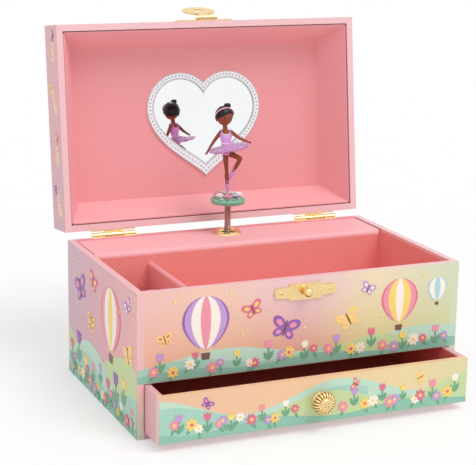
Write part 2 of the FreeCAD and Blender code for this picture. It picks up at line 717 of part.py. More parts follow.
    wheel = rod(crown_r + CROWN_FACE / 2, V(0, root_y, wheel_z), V(0, bed_y - RUNNING, wheel_z))
    teeth = [wheel]
    tip = GEAR_MODULE * (ADDENDUM + DEDENDUM)
    for n in range(CROWN_TEETH):
        wide = math.pi * GEAR_MODULE * 0.5 - CROWN_PLAY
        w0 = wide / 2 + tip * 0.22
        w1 = wide / 2 - tip * 0.2
        z0 = wheel_z + crown_r - CROWN_FACE / 2
        tooth = poly([V(-w0, root_y + RUNNING, z0), V(w0, root_y + RUNNING, z0), V(w1, root_y - tip, z0),
                      V(-w1, root_y - tip, z0)]).extrude(V(0, 0, CROWN_FACE * 0.97))
        tooth.rotate(V(0, 0, wheel_z), Y, 360.0 * n / CROWN_TEETH)
        teeth.append(tooth)
    wheel = join(teeth)
    winder = rod(WINDER_R, V(0, root_y - HOUSING_L * 0.6, wheel_z), V(0, half_d + KEY_HUB_L, wheel_z))
    wheel = wheel.cut(winder)
    housing = [rod(HOUSING_R, V(0, front_y, wheel_z), V(0, root_y - RUNNING, wheel_z)),
               box(-post_x - POST_GAP, post_x + POST_GAP, front_y, front_y + STRAP_T,
                   wheel_z - STRAP_W / 2, wheel_z + STRAP_W / 2)]
    for x in (-post_x, post_x):
        housing.append(rod(POST_R, V(x, front_y, wheel_z), V(x, bed_y, wheel_z)))
    housing = join(housing)
    housing = housing.cut(rod(WINDER_R + BEARING, V(0, root_y - HOUSING_L * 0.62, wheel_z),
                              V(0, root_y, wheel_z)))
    key = wind_key(wheel_z).cut(winder)

    fly = [gear(FLY_TEETH, TRAIN_MODULE, gear_z, GEAR_T, math.pi / FLY_TEETH),
           Part.makeCylinder(FLY_PIVOT_R, high_z + BRACKET_T - low_z, V(0, 0, low_z)),
           box(-FLY_R, FLY_R, -FLY_T / 2, FLY_T / 2, drum_z + FLY_CLEAR, gear_z - FLY_CLEAR)]
    fly = join(fly)
    fly.translate(V(fly_x, axis_y, 0))
    hole = rod(WINDER_R + RUNNING, V(0, inner_y - 1, wheel_z), V(0, half_d + 1, wheel_z))
    return {"movement_bedplate": bed, "bedplate_screws": bed_screws, "music_comb": comb,
            "comb_screws": comb_screws, "pinned_cylinder": drum, "cylinder_arbor": arbor,
            "great_wheel": wheel, "winding_arbor": winder, "spring_housing": housing,
            "windup_key": key, "governor_fly": fly}, hole


def wind_key(z):
    """Butterfly key on the winding arbor behind the back wall."""
    y = half_d + KEY_GAP
    hub = rod(KEY_HUB_R, V(0, y, z), V(0, y + KEY_HUB_L, z))
    mid = y + KEY_HUB_L + KEY_LOBE_R * 0.4
    pieces = [hub]
    for side in (-1, 1):
        x = side * KEY_LOBE_X
        lobe = Part.makeCylinder(KEY_LOBE_R, KEY_T, V(x, mid, z - KEY_T / 2))
        pieces.append(lobe)
    pieces.append(box(-KEY_LOBE_X, KEY_LOBE_X, mid - KEY_LOBE_R * 0.5, mid + KEY_LOBE_R * 0.5,
                      z - KEY_T / 2, z + KEY_T / 2))
    whole = join(pieces)
    for side in (-1, 1):
        x = side * (KEY_LOBE_X + KEY_LOBE_R * 0.1)
        whole = whole.cut(Part.makeCylinder(KEY_LOBE_R * 0.5, KEY_T, V(x, mid, z - KEY_T / 2)))
    return whole


def build():
    parts, winder_hole = movement()
    clasp_nails = plate_nails(stud_z)
    hasp_nails = plate_nails(hasp_z + PLATE_H / 2 + HASP_R * 0.6)
    box_screws = hinge_screws(-1)
    lid_screws = hinge_screws(1)
    stud = clasp_stud()
    parts.update(carcass([clasp_nails, stud], box_screws, parts["bedplate_screws"], winder_hole))
    parts.update(tray())
    parts["ring_rolls"] = ring_rolls()
    parts["deck_grommet"] = grommet()
    parts["clasp_plate"] = plate(stud_z).cut([clasp_nails, stud])
    parts["clasp_stud"] = stud
    parts["clasp_nails"] = clasp_nails
    parts["hinge_box_leaves"] = hinge_leaves(-1, box_screws)
    parts["hinge_box_screws"] = box_screws
    parts["hinge_pins"] = hinge_pins()
    parts.update(drawer())
    parts["figure_base"], parts["ballerina_figure"], parts["ballerina_tutu"] = figure()
    parts["popup_stem"] = stem()

    lid = lid_boards(hasp_nails, lid_screws)
    lid["lid_lining_panel"], lid["lid_lining_sides"] = lid_lining()
    lid["heart_mirror"], lid["mirror_border"] = mirror()
    lid["hinge_lid_leaves"] = hinge_leaves(1, lid_screws)
    lid["hinge_lid_screws"] = lid_screws
    lid["hasp_plate"] = hasp_plate(hasp_nails)
    lid["hasp_nails"] = hasp_nails
    (a, _), (_, b) = hasp_spans()
    lid["hasp_pin"] = rod(HASP_PIN_R, V(a, hasp_y, hasp_z), V(b, hasp_y, hasp_z))
    lid["hasp_tongue"] = hasp_tongue()
    for name, shape in lid.items():
        parts[name] = opened(shape)
    return parts


os.makedirs("parts", exist_ok=True)
for name, shape in build().items():
    shape.exportStep("parts/" + name + ".step")
    print(name, shape.isValid(), len(shape.Solids), len(shape.Faces), round(shape.Volume, 2))
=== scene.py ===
import json
import random
from math import atan2, cos, pi, radians, sin, sqrt

import bmesh
import bpy
from mathutils import Matrix, Vector


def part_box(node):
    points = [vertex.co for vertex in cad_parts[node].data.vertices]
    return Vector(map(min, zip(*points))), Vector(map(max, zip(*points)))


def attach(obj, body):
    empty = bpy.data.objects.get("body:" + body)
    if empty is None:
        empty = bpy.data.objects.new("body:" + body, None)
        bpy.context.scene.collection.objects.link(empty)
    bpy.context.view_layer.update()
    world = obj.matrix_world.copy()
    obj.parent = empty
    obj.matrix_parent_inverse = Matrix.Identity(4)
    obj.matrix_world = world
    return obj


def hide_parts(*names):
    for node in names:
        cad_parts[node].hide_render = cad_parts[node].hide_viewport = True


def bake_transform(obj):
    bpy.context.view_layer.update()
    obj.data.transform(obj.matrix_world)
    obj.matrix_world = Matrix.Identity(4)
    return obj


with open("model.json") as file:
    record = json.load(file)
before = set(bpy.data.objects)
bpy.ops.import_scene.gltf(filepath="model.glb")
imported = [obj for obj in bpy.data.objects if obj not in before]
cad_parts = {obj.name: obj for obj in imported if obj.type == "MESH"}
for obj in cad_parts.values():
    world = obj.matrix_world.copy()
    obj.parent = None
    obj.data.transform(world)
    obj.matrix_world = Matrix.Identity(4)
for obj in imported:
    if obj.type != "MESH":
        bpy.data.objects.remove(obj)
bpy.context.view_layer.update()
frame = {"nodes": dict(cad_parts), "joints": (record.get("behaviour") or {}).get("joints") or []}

MM = 0.001
rng = random.Random(11)
joints = {j["name"]: j for j in frame["joints"]}
nodes = frame["nodes"]

# The photograph's camera, in millimetres and degrees
CAMERA_PLACE = (-355.4, -784.8, 305.5)
CAMERA_YAW = -23.49
CAMERA_PITCH = 13.78
CAMERA_ROLL = 0.94
FOCAL_PIXELS = 1487.8
IMAGE_WIDTH = 476
SENSOR_WIDTH = 36.0

# Light: an even world and two broad suns, each with the way it comes from, its level and its spread
WORLD_LEVEL = 0.66
SUNS = {"key": ((0.3, -0.5, 0.95), 1.3, 35), "fill": ((-0.6, -0.7, 0.5), 0.2, 60)}
FLOOR_GLOW = 0.45
FLOOR_DROP = 0.2 * MM
FLOOR_HALF = 4.0

LEFT, RIGHT = Vector((-1, 0, 0)), Vector((1, 0, 0))
FRONT, BACK = Vector((0, -1, 0)), Vector((0, 1, 0))
DOWN, UP = Vector((0, 0, -1)), Vector((0, 0, 1))

# Lid pose: lid pieces are laid out closed and turned open about the hinge
hinge = Vector(joints["lid_hinge"]["pos_m"])
open_angle = radians(joints["lid_hinge"]["range_deg"][1])
OPEN = Matrix.Translation(hinge) @ Matrix.Rotation(-open_angle, 4, "X") @ Matrix.Translation(-hinge)
LID_TURN = OPEN.to_3x3()
LID_FRONT, LID_BACK, LID_UP = (LID_TURN @ way for way in (FRONT, BACK, UP))

# Box, in metres
HALF_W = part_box("right_wall")[1][0]
HALF_D, BOX_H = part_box("left_wall")[1][1:]

# Lid, in millimetres: its rim lies just above the hinge when it is closed
LID_RIM = hinge.z / MM + 0.2
LID_H = 25.2
LID_DEPTH = 22.4
LID_REACH = 130
HINGE_X = 69
HINGE_HALF = 18
HASP_HALF = 21

# Heart mirror on the lid, in millimetres from the middle of its panel
LOBE_R = 22.6
LOBE_X = 16.2
LOBE_Y = 8.4
HEART_TIP = 35.8
HEART_X = 2.4
LOBE_END = radians(24)
TIP_INSET = 1.75
BORDER_T = 1.2

# Stem: the wire's radius, and the pitch of the coil as a multiple of that radius
STEM_WIRE = 0.26 * MM
STEM_PITCH = 2.04

# Doll, in millimetres above the toe, as in the solids
FIGURE_TURN = radians(-23.5)
TOE_TIP = 1.1
HEAD = Vector((-2.8, -0.4, 47.3))
HEAD_R = (5.1, 5.2, 5.9)
HAIR_R = (5.75, 5.75, 6.35)
HAIR_BACK = 0.35
STRANDS = 26
STRAND_DEPTH = 0.09
FACE = Matrix.Rotation(radians(22), 3, "Z")
BUN = Vector((-1.1, 1.0, 53.4))
BAND_R = (6.05, 5.95, 6.62)
BAND_LEAN = radians(34)
BODICE_X = -1.85
TUTU_HEIGHT = 27.9
TUTU_TILT = radians(-11)
WAIST_R = 2.3
RIBBON_TURN = radians(450)

# Ring rolls: the cloth runs at ten times size, on a form a little slimmer than the solid. The voxel and
# the swell are at that size
ROLL_COUNT = 5
ROLL_GAP = 0.5 * MM
ROLL_SLIM = 0.93
ROLL_SHORT = 0.97
ROLL_BIG = 10.0
ROLL_VOXEL = 0.012
ROLL_SWELL = 0.006
ROLL_PRESSURE = 4.0
CLOTH_FRAMES = 15


def rgb(r, g, b):
    """A colour given as 0 to 255 display values, as linear light."""
    def lin(c):
        c = c / 255
        return c / 12.92 if c <= 0.04045 else ((c + 0.055) / 1.055) ** 2.4
    return (lin(r), lin(g), lin(b), 1.0)


# Shader nodes
def node(tree, kind, inputs=None, **settings):
    """A new node with its settings, and with inputs that take a value or another node's output."""
    made = tree.nodes.new("ShaderNode" + kind)
    for key, value in settings.items():
        setattr(made, key, value)
    for key, value in (inputs or {}).items():
        if isinstance(value, bpy.types.NodeSocket):
            tree.links.new(value, made.inputs[key])
        else:
            made.inputs[key].default_value = value
    return made


def new_material(name):
    mat = bpy.data.materials.new(name)
    mat.use_nodes = True
    return mat, mat.node_tree, mat.node_tree.nodes["Principled BSDF"]


def noise(tree, scale):
    """Fine noise that stays with the object."""
    where = node(tree, "TexCoord").outputs["Object"]
    return node(tree, "TexNoise", {"Scale": scale, "Detail": 3.0, "Vector": where}).outputs["Fac"]


def vary(tree, colour, grain, amount):
    """A colour that drifts a little lighter and darker with the noise."""
    ramp = node(tree, "ValToRGB", {"Fac": grain})
    for stop, at, part in zip(ramp.color_ramp.elements, (0.3, 0.7), (1 - amount, 1 + amount)):
        stop.position = at
        stop.color = (*(min(1, c * part) for c in colour[:3]), 1)
    return ramp.outputs["Color"]


def texture(tree, shader, grain, rough, bump, depth):
    """Gloss and relief that follow the noise."""
    span = node(tree, "MapRange", {"Value": grain, "To Min": rough[0], "To Max": rough[1]})
    tree.links.new(span.outputs["Result"], shader.inputs["Roughness"])
    relief = node(tree, "Bump", {"Strength": bump, "Distance": depth * MM, "Height": grain})
    tree.links.new(relief.outputs["Normal"], shader.inputs["Normal"])


EXTRAS = {"metal": "Metallic", "coat": "Coat Weight", "sheen": "Sheen Weight", "shine": "Specular IOR Level"}


def surface(name, colour, rough, amount, scale, bump=0.1, depth=0.03, **extras):
    """A material with grain in its colour, its gloss and its relief, whose depth is in millimetres."""
    mat, tree, shader = new_material(name)
    grain = noise(tree, scale)
    tree.links.new(vary(tree, rgb(*colour), grain, amount), shader.inputs["Base Color"])
    texture(tree, shader, grain, rough, bump, depth)
    for key, value in extras.items():
        shader.inputs[EXTRAS[key]].default_value = value
    return mat


PINK = (236, 158, 162)
CREAM = (243, 196, 200)
M = {
    "lining": surface("pink_paper", PINK, (0.55, 0.7), 0.035, 1600, 0.25, 0.04),
    # A lighter copy of the pink paper for the lid's slanted cards: painted light, for the lower card that
    # catches the light
    "lid_card_painted_light": surface("pink_card_paper_painted_light", (242, 172, 176), (0.55, 0.7), 0.035, 1600, 0.25, 0.04),
    "deck": surface("pink_deck_paper", (246, 182, 186), (0.5, 0.65), 0.03, 1500, 0.2, 0.04),
    "inside_card": surface("tray_card", (242, 152, 146), (0.6, 0.72), 0.04, 1500, 0.2, 0.04),
    "brass": surface("brass", (240, 210, 152), (0.16, 0.34), 0.1, 500, 0.12, 0.03, metal=1.0),
    # Darker brass for the knob's grooves: painted shade, standing in for dark reflections in the hollows
    # between the ribs
    "groove_shade": surface("brass_groove_painted_shade", (150, 116, 60), (0.3, 0.45), 0.15, 700, metal=1.0),
    # The stem wire's pinkish tint is a painted reflection of the pink box around it
    "stem_wire_painted_pink_reflection": surface("stem_wire_painted_pink_reflection", (192, 154, 146), (0.2, 0.32), 0.06, 900, 0.08, 0.02, metal=1.0),
    "steel": surface("steel", (200, 186, 182), (0.2, 0.32), 0.06, 900, 0.08, 0.02, metal=1.0),
    "zinc": surface("zinc_casting", (150, 150, 148), (0.45, 0.6), 0.08, 600, 0.3, 0.08, metal=1.0),
    "mirror": surface("mirror_silver", (245, 246, 248), (0.01, 0.03), 0.01, 60, 0.0, 0.01, metal=1.0),
    "border": surface("mirror_border_white", (238, 246, 250), (0.2, 0.3), 0.04, 700, coat=0.4),
    "bead": surface("mirror_bead_dark", (52, 52, 60), (0.2, 0.32), 0.15, 800, 0.0, 0.02, metal=0.3),
    "board": surface("bare_board", (186, 152, 112), (0.7, 0.85), 0.1, 300, 0.4, 0.1),
    "drawer_out": surface("drawer_pink_paper", (228, 176, 180), (0.5, 0.65), 0.04, 1500, 0.2, 0.04),
    "drawer_in": surface("drawer_dark_lining", (228, 110, 98), (0.75, 0.9), 0.12, 2200, 0.5, 0.1, sheen=0.2),
    "roll": surface("ring_roll_flock", (246, 176, 176), (0.8, 0.95), 0.07, 2600, 0.6, 0.12, sheen=0.5),
    "mint_base": surface("mint_plastic", (126, 190, 160), (0.3, 0.42), 0.06, 400, 0.1, 0.04),
    "skin": surface("doll_skin", (150, 76, 50), (0.34, 0.44), 0.05, 500, 0.08, 0.03, shine=0.35),
    "hair": surface("doll_hair", (22, 16, 18), (0.2, 0.34), 0.2, 900, 0.3, 0.06, shine=0.3),
    "leotard": surface("doll_leotard", (226, 166, 234), (0.28, 0.38), 0.06, 700, 0.12, 0.03, coat=0.2),
    "tutu": surface("doll_tutu", (255, 210, 255), (0.22, 0.34), 0.05, 500, coat=0.3),
    "slipper": surface("doll_slipper", (216, 152, 214), (0.25, 0.35), 0.06, 700, coat=0.3),
    "white": surface("painted_white", (246, 240, 238), (0.3, 0.4), 0.03, 600, 0.05, 0.02),
    "black": surface("painted_black", (24, 16, 15), (0.4, 0.5), 0.1, 600, 0.05, 0.02, shine=0.2),
    "lip": surface("painted_lip", (176, 70, 78), (0.3, 0.4), 0.05, 600, 0.05, 0.02),
    "band": surface("doll_headband", (242, 186, 214), (0.25, 0.35), 0.05, 600, coat=0.3),
    "rose": surface("flower_pink", (240, 160, 182), (0.3, 0.42), 0.08, 700, coat=0.2),
    "petal_lilac": surface("flower_lilac", (206, 170, 220), (0.3, 0.42), 0.08, 700, coat=0.2),
    "leaf": surface("flower_leaf", (150, 200, 170), (0.35, 0.45), 0.1, 700),
    "gold_core": surface("flower_core", (240, 204, 96), (0.35, 0.45), 0.08, 700),
}

INKS = {
    "hill_mint": (166, 208, 190), "hill_pale": (190, 220, 200), "hill_green": (198, 214, 158),
    "hill_deep": (142, 192, 172), "pink": (240, 150, 168), "rose": (226, 112, 140),
    "lilac": (196, 156, 210), "violet": (150, 96, 178), "yellow": (250, 214, 112),
    "peach": (248, 196, 160), "cream": (250, 238, 226), "leaf": (112, 168, 132), "sky": (176, 214, 222),
    "brown": (120, 80, 70),
}
PRINT_GRAIN = 1300
INK = {k: surface("ink_" + k, v, (0.36, 0.46), 0.04, PRINT_GRAIN, depth=0.02) for k, v in INKS.items()}
INK["gold"] = surface("ink_gold_foil", (250, 222, 150), (0.2, 0.36), 0.1, 900, depth=0.02, metal=0.4)


def part_along(tree, coordinate, axis):
    """The part of a point or a normal that lies along an axis."""
    where = node(tree, "TexCoord").outputs[coordinate]
    return node(tree, "VectorMath", {0: where, 1: axis}, operation="DOT_PRODUCT").outputs["Value"]


def along(tree, axis, start, end):
    """How far a point lies along an axis, from 0 at start to 1 at end."""
    part = part_along(tree, "Object", axis)
    return node(tree, "MapRange", {"Value": part, "From Min": start, "From Max": end}).outputs["Result"]


def greatest(tree, values):
    total = values[0]
    for value in values[1:]:
        total = node(tree, "Math", {0: total, 1: value}, operation="MAXIMUM").outputs["Value"]
    return total


def faces_towards(tree, ways):
    """1 on faces that look along any of these directions, 0 elsewhere."""
    hits = []
    for way in ways:
        test = {0: part_along(tree, "Normal", way), 1: 0.5}
        hits.append(node(tree, "Math", test, operation="GREATER_THAN").outputs["Value"])
    return greatest(tree, hits)


def ramp_of(tree, factor, stops):
    ramp = node(tree, "ValToRGB", {"Fac": factor})
    places = ramp.color_ramp.elements
    while len(places) < len(stops):
        places.new(0.5)
    for place, (at, colour) in zip(places, stops):
        place.position = at
        place.color = rgb(*colour)
    return ramp.outputs["Color"]


def mix(tree, factor, a, b, way="MIX"):
    return node(tree, "Mix", {0: factor, 6: a, 7: b}, data_type="RGBA", blend_type=way).outputs[2]


def give(mat, name):
    slots = nodes[name].data.materials
    slots.clear()
    slots.append(mat)


# Printed paper: colours along a board as shares of its length, and heights in metres
MAUVE = (206, 168, 184)
FRONT_SKY = [(0.0, (240, 190, 186)), (0.22, (246, 202, 178)), (0.5, (236, 196, 208)),
             (0.72, (242, 220, 184)), (1.0, (212, 220, 190))]
FRONT_DUSK = [(0.0, (236, 176, 150)), (0.25, (236, 176, 134)), (0.5, (226, 160, 130)),
              (0.7, (224, 206, 136)), (1.0, (212, 214, 156))]
DRAWER_SKY = [(0.0, (236, 190, 160)), (0.45, (244, 198, 158)), (0.75, (236, 214, 160)),
              (1.0, (222, 214, 168))]
LEFT_SKY = [(0.0, MAUVE), (0.55, (226, 164, 172)), (1.0, (236, 176, 172))]
RIGHT_SKY = [(0.0, (206, 214, 182)), (0.5, (214, 190, 200)), (1.0, MAUVE)]
BACK_SKY = [(0.0, MAUVE), (0.5, (238, 190, 172)), (1.0, MAUVE)]
LID_LEFT_SKY = [(0.0, (212, 162, 178)), (1.0, (230, 168, 172))]
LID_RIGHT_SKY = [(0.0, MAUVE), (1.0, (206, 214, 182))]
PALE = (206, 216, 190)
PALE_SPAN = (0.0, 0.03)
DUSK_SPAN = (0.036, 0.078)
PAPER = (0.97, 0.97, 0.97)
PRINT_ROUGH = (0.34, 0.46)
PRINT_COAT = 0.15


def wrap(board, ways, run, stops, pale=False, edge=CREAM, corner=None, dusk=None):
    """Printed paper on a board: a sky that changes along a run, on the faces that look these ways.

    Other faces are plain edge paper. A pale sky lightens towards the table. A corner, which is a direction
    and a colour, carries the next board's print round the end. A dusk warms the sky towards the bottom.
    """
    mat, tree, shader = new_material("print_" + board.rsplit("_", 1)[0])
    sky = ramp_of(tree, along(tree, *run), stops)
    if dusk:
        warm = ramp_of(tree, along(tree, *run), dusk)
        sky = mix(tree, along(tree, UP, *DUSK_SPAN), warm, sky)
    if corner:
        way, colour = corner
        sky = mix(tree, faces_towards(tree, (way,)), sky, rgb(*colour))
        ways = (*ways, way)
    if pale:
        sky = mix(tree, along(tree, UP, *PALE_SPAN), rgb(*PALE), sky)
    grain = noise(tree, PRINT_GRAIN)
    board_colour = mix(tree, faces_towards(tree, ways), rgb(*edge), sky)
    tint = mix(tree, 1.0, board_colour, vary(tree, PAPER, grain, 0.03), "MULTIPLY")
    tree.links.new(tint, shader.inputs["Base Color"])
    texture(tree, shader, grain, PRINT_ROUGH, 0.15, 0.03)
    shader.inputs["Coat Weight"].default_value = PRINT_COAT
    give(mat, board)


PLAIN = {
    "lining": "lid_lining_panel tray_divider",
    # The lighter card paper on these cards is painted light
    "lid_card_painted_light": "lid_lining_sides",
    "inside_card": "tray_lining music_deck_front",
    "deck": "music_deck_top",
    "board": "tray_floor deck_cleats",
    "drawer_out": "drawer_left_side drawer_right_side drawer_back",
    "drawer_in": "drawer_bottom",
    "brass": "deck_grommet clasp_plate clasp_stud clasp_nails hasp_plate hasp_nails hasp_pin hasp_tongue"
             " drawer_knob hinge_box_leaves hinge_lid_leaves hinge_pins hinge_box_screws hinge_lid_screws"
             " pinned_cylinder great_wheel governor_fly",
    "steel": "knob_screw music_comb comb_screws bedplate_screws cylinder_arbor winding_arbor windup_key"
             " popup_stem",
    "zinc": "movement_bedplate spring_housing",
    "mirror": "heart_mirror",
    "border": "mirror_border",
    "mint_base": "figure_base",
    "skin": "ballerina_figure",
    "tutu": "ballerina_tutu",
    "roll": "ring_rolls",
}


def dress_plain():
    """One material all over each of the other pieces."""
    for key, names in PLAIN.items():
        for name in names.split():
            give(M[key], name)


def dress_boards():
    across = (RIGHT, -HALF_W, HALF_W)
    rise = (LID_FRONT, hinge.z, hinge.z + LID_REACH * MM)
    left_end, right_end = FRONT_SKY[0][1], FRONT_SKY[-1][1]
    wrap("front_panel", (FRONT,), across, FRONT_SKY, True, dusk=FRONT_DUSK)
    wrap("left_wall", (LEFT, BACK), (FRONT, -HALF_D, HALF_D), LEFT_SKY, True, corner=(FRONT, left_end))
    wrap("right_wall", (RIGHT, BACK), (BACK, -HALF_D, HALF_D), RIGHT_SKY, True, corner=(FRONT, right_end))
    wrap("back_wall", (BACK,), across, BACK_SKY, True, edge=PINK)
    wrap("base_board", (DOWN, FRONT), across, BACK_SKY)
    wrap("drawer_front", (FRONT,), across, DRAWER_SKY, corner=(UP, DRAWER_SKY[1][1]))
    wrap("lid_left_wall", (LEFT, LID_BACK), rise, LID_LEFT_SKY, corner=(LID_FRONT, left_end))
    wrap("lid_right_wall", (RIGHT, LID_BACK), rise, LID_RIGHT_SKY, corner=(LID_FRONT, right_end))
    wrap("lid_front_wall", (LID_FRONT,), across, FRONT_SKY)
    wrap("lid_back_wall", (LID_BACK,), across, BACK_SKY)
    wrap("lid_top_panel", (LID_UP,), across, FRONT_SKY)


# Mesh tools
def piece(name, bm, body, mats, smooth=True):
    mesh = bpy.data.meshes.new(name)
    bmesh.ops.recalc_face_normals(bm, faces=bm.faces)
    bm.to_mesh(mesh)
    bm.free()
    for mat in mats:
        mesh.materials.append(mat)
    for poly in mesh.polygons:
        poly.use_smooth = smooth
    obj = bpy.data.objects.new(name, mesh)
    bpy.context.scene.collection.objects.link(obj)
    if body:
        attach(obj, body)
    return obj


def angles(count, start=0.0):
    """Angles spread evenly over a full turn."""
    return [start + 2 * pi * n / count for n in range(count)]


def shares(count):
    """Shares from 0 to 1 in equal steps."""
    return [n / count for n in range(count + 1)]


def polar(r, a, z=0.0):
    return Vector((r * cos(a), r * sin(a), z))


def bridge(bm, rings, material=0, caps=True):
    """Skin rings of points in order, with a face over each end."""
    faces = []
    for a, b in zip(rings, rings[1:]):
        for k in range(len(a)):
            m = (k + 1) % len(a)
            faces.append(bm.faces.new((a[k], a[m], b[m], b[k])))
    if caps:
        faces += [bm.faces.new(list(reversed(rings[0]))), bm.faces.new(rings[-1])]
    for face in faces:
        face.material_index = material
    return faces


def spindle(bm, rings, low, high):
    """Skin rings of points, closed by a point on the axis at each end."""
    faces = bridge(bm, rings, caps=False)
    for place, ring in ((low, list(reversed(rings[0]))), (high, rings[-1])):
        tip = bm.verts.new((0, 0, place))
        for k in range(len(ring)):
            bm.faces.new((ring[k - 1], ring[k], tip))
    return faces


def tube(bm, rows, material=0, around=14, steps=6):
    """A smooth limb through points, each with its radius last, closed and rounded at both ends."""
    rows = [Vector(row) for row in rows]
    last = len(rows) - 1
    spots = []
    # A smooth curve through the points
    for n in range(last):
        near = (rows[max(n - 1, 0)], rows[n], rows[n + 1], rows[min(n + 2, last)])
        for t in (k / steps for k in range(steps)):
            weights = (-0.5 * t + t * t - 0.5 * t ** 3, 1 - 2.5 * t * t + 1.5 * t ** 3,
                       0.5 * t + 2 * t * t - 1.5 * t ** 3, -0.5 * t * t + 0.5 * t ** 3)
            spots.append(sum((p * w for p, w in zip(near, weights)), Vector((0, 0, 0, 0))))
    spots.append(rows[-1])
    spots = [(s.xyz, s.w) for s in spots]
    (start, r0), (end, r1) = spots[0], spots[-1]
    first = (spots[1][0] - start).normalized()
    final = (end - spots[-2][0]).normalized()
    round_off = (1.35, 0.95, 0.5)
    spots = [(start - first * (r0 * sin(a)), r0 * cos(a)) for a in round_off] + spots
    spots += [(end + final * (r1 * sin(a)), r1 * cos(a)) for a in reversed(round_off)]
    side = first.orthogonal().normalized()
    rings = []
    for n, (place, r) in enumerate(spots):
        way = (spots[min(n + 1, len(spots) - 1)][0] - spots[max(n - 1, 0)][0]).normalized()
        side = (side - way * side.dot(way)).normalized()
        other = way.cross(side)
        rings.append([bm.verts.new(place + (side * cos(a) + other * sin(a)) * r)
                      for a in angles(around)])
    bridge(bm, rings, material)


def cord(bm, path, r, material=0, around=8, steps=1):
    """A tube of one radius."""
    tube(bm, [(*p, r) for p in path], material, around, steps)


def blob(bm, place, radii, material=0, turn=None, fine=20):
    """An egg of three half-widths."""
    made = bmesh.ops.create_uvsphere(bm, u_segments=fine, v_segments=fine * 2 // 3, radius=1.0)
    shape = Matrix.Translation(place) @ (turn or Matrix()) @ Matrix.Diagonal((*radii, 1))
    bmesh.ops.transform(bm, matrix=shape, verts=made["verts"])
    for face in {f for v in made["verts"] for f in v.link_faces}:
        face.material_index = material


# Printed motifs
def laid(points, x, y, scale=1.0, turn=0.0):
    """Flat points scaled, turned and moved to a place."""
    c, s = scale * cos(turn), scale * sin(turn)
    return [(x + a * c - b * s, y + a * s + b * c) for a, b in points]


def both_sides(half):
    """An outline from its right half, given upwards."""
    return [*half, *((-a, b) for a, b in reversed(half) if a)]


